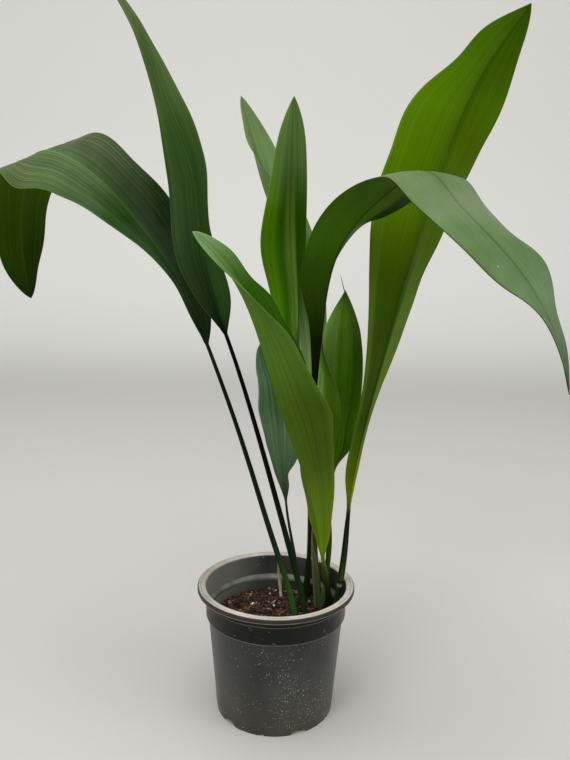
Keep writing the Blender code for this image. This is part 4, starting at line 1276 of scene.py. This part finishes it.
def body_material():
    """Dusty, slightly scuffed black plastic of the pot's tapering body, with painted shade: darker towards
    the band and lighter low down.
    """
    material, solid, (x, _, height) = start_material("pot_body_plastic", *BODY_FINISH)
    clouds = noise_at(solid, *BODY_CLOUDS)
    colour = blend(between(clouds, *NOISE_SPAN), *BODY_COLOURS)
    # Painted shade: the body darker towards the band above it, lighter low down
    colour = varied(colour, height, *BODY_PAINTED_SHADE_HEIGHTS, 1.3, 0.6)
    stains = between(noise_at(solid, *BODY_STAINS), 0.2, 0.7, 0.4, 1.0)
    colour = blend(times(between(height, *DIRT_HEIGHTS, 0.65, 0.0), stains), colour, DIRT_COLOUR)
    grain = noise_at(solid, GRAIN_SCALE)
    colour = varied(colour, grain, *NOISE_SPAN, 0.85, 1.15)
    dusty = times(between(x, *DUST_SIDES, 0.3, 1.0), between(height, *DUST_HEIGHTS, 1.0, 0.35))
    for share, *dust in BODY_DUST:
        colour = dusted(solid, colour, times(dusty, share), *dust)
    rough = between(clouds, *NOISE_SPAN, 0.3, 0.42)
    return finish_material(material, colour, rough, grain, 0.2, 0.12)


def band_material():
    """Near-black, smoother plastic of the band below the rim, with a painted highlight along each of its
    two edges.
    """
    material, solid, (_, _, height) = start_material("pot_band_plastic", *BAND_FINISH)
    clouds = noise_at(solid, *BAND_CLOUDS)
    colour = blend(between(clouds, 0.35, 0.7), *BAND_COLOURS)
    colour = dusted(solid, colour, *BAND_DUST)
    # Painted highlights along the band's lower edge and along the bead
    colour = thin_line(colour, height, BAND_BOTTOM, *BAND_EDGE_HIGHLIGHT)
    colour = thin_line(colour, height, BEAD_HEIGHT, *BEAD_HIGHLIGHT)
    rough = between(clouds, *NOISE_SPAN, 0.26, 0.4)
    return finish_material(material, colour, rough, noise_at(solid, GRAIN_SCALE), 0.15, 0.12)


def rim_material():
    """Dry beige film on the flat top of the rim, with a dark groove, a dark outer edge, and painted shade
    towards its left side.
    """
    material, solid, (x, y, _) = start_material("pot_rim_film", RIM_ROUGHNESS)
    clouds = noise_at(solid, *RIM_CLOUDS)
    colour = blend(between(clouds, *NOISE_SPAN), *RIM_COLOURS)
    streaks = noise_at(solid, *RIM_STREAKS)
    colour = varied(colour, streaks, *NOISE_SPAN, 0.92, 1.06)
    # Painted shade: darker towards the rim's left side
    colour = varied(colour, x, *RIM_PAINTED_SHADE_SIDES, 0.62, 1.0)
    colour = dusted(solid, colour, *RIM_DUST)
    level = add_node("ShaderNodeCombineXYZ", {0: x, 1: y})
    away = add_node("ShaderNodeVectorMath", {0: level}, operation="LENGTH").outputs["Value"]
    colour = thin_line(colour, away, RIM_RADIUS - RIM_GROOVE, *GROOVE_LINE)
    outer = calculate("ADD", away, times(clouds, 0.8 * MM))
    edge = between(outer, (RIM_RADIUS - 1.1) * MM, (RIM_RADIUS - 0.1) * MM)
    return finish_material(material, blend(edge, colour, LIP_COLOURS[0]), None, streaks, 0.2, 0.15)


def lip_material():
    """Brownish dark edge of the rolled lip under the beige film, with painted shade on its lower part and a
    painted highlight along its lower edge.
    """
    material, solid, (_, _, height) = start_material("pot_lip_plastic", *LIP_FINISH)
    clouds = noise_at(solid, *LIP_CLOUDS)
    colour = blend(clouds, *LIP_COLOURS)
    # Painted shade: the lip darker towards its lower part, where it turns under
    colour = blend(between(height, *LIP_PAINTED_SHADE_HEIGHTS, 0.85, 0.0), colour, LIP_PAINTED_SHADE)
    # Painted highlight along the lip's lower edge
    colour = thin_line(colour, height, POT_HEIGHT - LIP_DEPTH + 0.5, *LIP_EDGE_HIGHLIGHT)
    return finish_material(material, colour, None, clouds, 0.2, 0.15)


def inside_material():
    """Grey film of dried water on the inner wall, with a row of pale specks under the rim."""
    material, solid, (x, _, height) = start_material("pot_inner_film", INSIDE_ROUGHNESS)
    clouds = noise_at(solid, *INSIDE_CLOUDS)
    colour = blend(between(clouds, 0.3, 0.72), *INSIDE_COLOURS)
    colour = blend(between(x, *FILM_SIDES, 0.85, 0.0), colour, FILM_COLOUR)
    share = between(height, *SPECK_HEIGHTS, 0.03, 0.25)
    colour = dusted(solid, colour, share, *INSIDE_SPECKS)
    return finish_material(material, colour, None, clouds, 0.15, 0.2)


def ledge_material():
    """Pale line of lime on the ledge inside the pot."""
    material, solid, (_, _, height) = start_material("pot_ledge_lime", LIME_ROUGHNESS)
    clouds = noise_at(solid, *LIME_CLOUDS)
    colour = blend(between(clouds, *NOISE_SPAN), *LIME_COLOURS)
    colour = blend(between(height, *LIME_HEIGHTS, 0.8, 0.0), colour, LIME_SHADE)
    return finish_material(material, colour, None, clouds, 0.2, 0.2)


POT_MAKERS = (body_material, band_material, rim_material, lip_material, inside_material, ledge_material)


def make_pot():
    profile = rounded(pot_profile())
    pot = turned("pot_shell", profile + profile[:1], POT_STEPS)
    cut_with(pot, foot_cutters())
    mesh = pot.data
    mesh.shade_smooth()
    mesh.set_sharp_from_angle(angle=math.radians(SHARP_ANGLE))
    mesh.materials.clear()
    for make in POT_MAKERS:
        mesh.materials.append(make())
    for face in mesh.polygons:
        face.material_index = POT_MAKERS.index(pot_surface(face.center, face.normal))
    ride_along(pot, node="pot")


# Soil

def soil_radius(height):
    """Radius of the soil, which follows the pot's inner wall with a gap."""
    low, high = wall_radius(FLOOR_TOP) - WALL, LEDGE_RADIUS - 0.2
    part = (height - FLOOR_TOP - 1.0) / (INSIDE_BEND - FLOOR_TOP - 1.0)
    return low + min(1.0, part) * (high - low) - 2 * GAP


def soil_height(x, y):
    """Height of the soil's top above its edge, in millimetres, at a place in millimetres."""
    inward = max(0.0, 1.0 - (math.hypot(x, y) / SOIL_EDGE) ** 2)
    place = Vector((x, y, 0.0)) / SOIL_BUMP_PITCH + SOIL_SEED_OFFSET
    return SOIL_MOUND * inward + SOIL_BUMP * noise.noise(place) * min(1.0, 3.0 * inward)


def crumbs(x, y):
    """Fine relief of the soil's surface between the chips, in millimetres."""
    return CRUMB_RELIEF * noise.fractal(Vector((x, y, 3.0)) / CRUMB_PITCH, 0.7, 2.0, 3)


def soil_profile():
    low = soil_radius(FLOOR_TOP + 2.5)
    top = [(SOIL_EDGE * ring / SOIL_RINGS, SOIL_EDGE_HEIGHT) for ring in range(SOIL_RINGS)]
    return top + [
        (SOIL_EDGE, SOIL_EDGE_HEIGHT - 0.8),
        (SOIL_EDGE, INSIDE_BEND),
        (low, FLOOR_TOP + 2.5),
        (low - 2.0, FLOOR_TOP + GAP),
        (CENTRE_PAD_RADIUS + 1.2 - GAP, FLOOR_TOP + GAP),
        (CENTRE_PAD_RADIUS - 1.0 - 2 * GAP, FLOOR_THICKNESS + GAP),
        (0.0, FLOOR_THICKNESS + GAP),
    ]


def make_soil_bed():
    soil = turned("soil_bed", soil_profile(), SOIL_STEPS)
    for vert in soil.data.vertices:
        if vert.co.z > (SOIL_EDGE_HEIGHT - 0.1) * MM:
            x, y = vert.co.x / MM, vert.co.y / MM
            vert.co.z += (soil_height(x, y) + crumbs(x, y) - BED_DROP) * MM
    soil.data.shade_smooth()
    soil.data.materials.clear()
    soil.data.materials.append(earth_material("soil_earth", *EARTH_COLOURS))
    ride_along(soil, node="soil")


def earth_material(name, dark, light, roughness=0.85):
    """Grainy matt earth or bark between two colours."""
    material, solid, _ = start_material(name, roughness, 0.3)
    grain = noise_at(solid, *BED_NOISE)
    mixed = calculate("ADD", times(grain, 0.5), times(noise_at(solid, BED_PATCHES), 0.5))
    colour = blend(between(mixed, 0.35, 0.65), dark, light)
    return finish_material(material, colour, None, grain, 0.6, 0.5)


def clear_of_stalks(x, y, size):
    """Whether a thing of some size in millimetres lies clear of each stalk's foot."""
    for leaf in LEAVES.values():
        foot = leaf["spine"][1]
        if math.hypot(x - foot[0], y - foot[1]) <= leaf["radius"] + 0.45 * size:
            return False
    return True


def place_on_soil(rng, reach):
    """A random place on the soil, in millimetres."""
    away = reach * math.sqrt(rng.uniform())
    angle = rng.uniform(0, 2 * math.pi)
    return away * math.cos(angle), away * math.sin(angle)


def chip_shape(rng, length):
    """Corners and faces of an angular bark chip: a squashed, jittered icosphere."""
    bm = bmesh.new()
    bmesh.ops.create_icosphere(bm, subdivisions=1, radius=0.5)
    scale = length * np.array([1.0, rng.uniform(*CHIP_WIDTH), rng.uniform(*CHIP_THICKNESS)])
    points = np.array([vert.co[:] for vert in bm.verts])
    points = np.sign(points) * (np.abs(points) * 2) ** CHIP_SQUARENESS / 2
    points = points * scale * rng.uniform(*CHIP_JITTER, points.shape)
    faces = [[vert.index for vert in face.verts] for face in bm.faces]
    bm.free()
    return points, faces


def random_turn(rng):
    """Random rotation of a chip: any heading, and a tilt."""
    heading = Matrix.Rotation(rng.uniform(0, 2 * math.pi), 3, "Z")
    axis = Vector((math.cos(rng.uniform(0, TILT_TURN)), math.sin(rng.uniform(0, TILT_TURN)), 0.0))
    lean = Matrix.Rotation(math.radians(rng.normal(0, CHIP_TILT)), 3, axis.normalized())
    return np.array(lean @ heading)


def make_chips():
    """Bark chips lying on the soil, as one piece."""
    rng = np.random.default_rng(CHIP_SEED)
    chances = np.array([kind[3] for kind in CHIP_KINDS])
    verts = []
    faces = []
    slots = []
    for number in range(CHIP_COUNT + LARGE_CHIP_COUNT):
        if number >= CHIP_COUNT:
            length = rng.uniform(*LARGE_CHIP_LENGTHS)
        else:
            length = CHIP_LEAST + CHIP_RANGE * rng.beta(*CHIP_SPREAD)
        x, y = place_on_soil(rng, SOIL_EDGE - 1.0 - 0.5 * length)
        kind = rng.choice(len(CHIP_KINDS), p=chances / chances.sum())
        points, sides = chip_shape(rng, length)
        points = points @ random_turn(rng).T
        lift = rng.uniform(*CHIP_LIFT) * min(length, 3.5)
        if not clear_of_stalks(x, y, length):
            continue
        z = SOIL_EDGE_HEIGHT + soil_height(x, y) + crumbs(x, y) * 0.5 + lift
        start = len(verts)
        verts += ((points + (x, y, z)) * MM).tolist()
        faces += [[start + corner for corner in side] for side in sides]
        slots += [kind] * len(sides)
    mesh = bpy.data.meshes.new("soil_chips")
    mesh.from_pydata(verts, [], faces)
    mesh.polygons.foreach_set("material_index", np.array(slots, np.int32))
    for name, dark, light, _ in CHIP_KINDS:
        mesh.materials.append(earth_material(name, dark, light, 0.75))
    ride_along(add_object("soil_chips", mesh))


def make_fibres():
    """Thin coir fibres lying among the chips, as one piece."""
    rng = np.random.default_rng(FIBRE_SEED)
    bm = bmesh.new()
    for _ in range(FIBRE_COUNT):
        start = place_on_soil(rng, SOIL_EDGE - FIBRE_EDGE)
        heading = rng.uniform(0, 2 * math.pi)
        bend = rng.normal(0, FIBRE_BEND)
        length = rng.uniform(*FIBRE_LENGTHS)
        radius = rng.uniform(*FIBRE_RADII)
        add_fibre(bm, rng, start, heading, bend, length, radius)
    mesh = mesh_from(bm, "soil_fibres")
    mesh.shade_smooth()
    mesh.materials.append(earth_material("coir_fibre", *FIBRE_COLOURS))
    ride_along(add_object("soil_fibres", mesh))


def add_fibre(bm, rng, start, heading, bend, length, radius):
    """One fibre: a short tapered tube that follows the soil's surface."""
    x, y = start
    points = []
    for _ in range(FIBRE_POINTS):
        points.append((x, y))
        x += length / FIBRE_POINTS * math.cos(heading)
        y += length / FIBRE_POINTS * math.sin(heading)
        heading += bend * 2 / FIBRE_POINTS
    if not all(clear_of_stalks(*point, 1.0) for point in points):
        return
    rings = []
    arch = rng.uniform(*FIBRE_ARCH)
    for k, (x, y) in enumerate(points):
        part = k / (FIBRE_POINTS - 1)
        z = SOIL_EDGE_HEIGHT + soil_height(x, y) + FIBRE_LIFT + arch * math.sin(math.pi * part)
        tangent = heading - bend * (1 - part) * 2
        sideways = Vector((-math.sin(tangent), math.cos(tangent), 0.0))
        thick = radius * (1 - 0.6 * abs(2 * part - 1))
        turns = [2 * math.pi * side / FIBRE_SIDES for side in range(FIBRE_SIDES)]
        rings.append([(Vector((x, y, z + thick * math.sin(turn))) + sideways * thick * math.cos(turn)) * MM
                      for turn in turns])
    add_tube(bm, rings)


# Studio: a pale floor that curves up into a backdrop, with painted light up the wall, soft lights and the
# camera

def make_floor():
    profile = [(FLOOR_FRONT, 0.0), (FLOOR_BACK, 0.0)]
    for k in range(1, CURVE_STEPS + 1):
        turn = math.pi / 2 * k / CURVE_STEPS
        profile.append((FLOOR_BACK + BACKDROP_CURVE * math.sin(turn),
                        BACKDROP_CURVE * (1 - math.cos(turn))))
    profile.append((FLOOR_BACK + BACKDROP_CURVE, BACKDROP_HEIGHT))
    verts = [(x, y, z) for y, z in profile for x in (-FLOOR_HALF_WIDTH, FLOOR_HALF_WIDTH)]
    faces = [(2 * k, 2 * k + 1, 2 * k + 3, 2 * k + 2) for k in range(len(profile) - 1)]
    mesh = bpy.data.meshes.new("studio_floor")
    mesh.from_pydata(verts, [], faces)
    mesh.shade_smooth()
    material, solid, (_, y, _) = start_material("studio_paper", *FLOOR_FINISH)
    colour = blend(noise_at(solid, 3.0, 3.0), *FLOOR_COLOURS)
    colour = blend(between(y, *FLOOR_MIDDLE), colour, MIDDLE_COLOUR)
    # Painted light: lighter up the wall
    colour = blend(between(y, *WALL_START), colour, WALL_PAINTED_LIGHT_COLOUR)
    mesh.materials.append(finish_material(material, colour))
    add_object("studio_floor", mesh)


def make_lights():
    for name, (place, target, size, power) in LIGHTS.items():
        light = bpy.data.lights.new(name, "AREA")
        light.shape = "DISK"
        light.size = size
        light.energy = power
        lamp = add_object(name, light)
        lamp.location = place
        lamp.rotation_euler = (Vector(target) - Vector(place)).to_track_quat("-Z", "Y").to_euler()
    world = bpy.data.worlds.new("studio_world")
    world.use_nodes = True
    background = world.node_tree.nodes["Background"].inputs
    background["Color"].default_value = WORLD_COLOUR
    background["Strength"].default_value = WORLD_STRENGTH
    bpy.context.scene.world = world


def make_camera():
    """The photograph's camera, from its place, pitch, yaw and roll."""
    data = bpy.data.cameras.new("photo_camera")
    data.lens = CAMERA_LENS
    data.sensor_width = SENSOR
    data.sensor_fit = "AUTO"
    camera = add_object("photo_camera", data)
    turn = Matrix.Rotation(math.radians(-CAMERA_YAW), 4, "Z")
    turn @= Matrix.Rotation(math.radians(90 - CAMERA_PITCH), 4, "X")
    turn @= Matrix.Rotation(math.radians(CAMERA_ROLL), 4, "Z")
    camera.matrix_world = Matrix.Translation(CAMERA_PLACE) @ turn
    bpy.context.scene.camera = camera


make_leaves()
make_sheaths()
make_thread()
make_pot()
make_soil_bed()
make_chips()
make_fibres()
make_floor()
make_lights()
make_camera()
bpy.context.scene.view_settings.view_transform = "Standard"
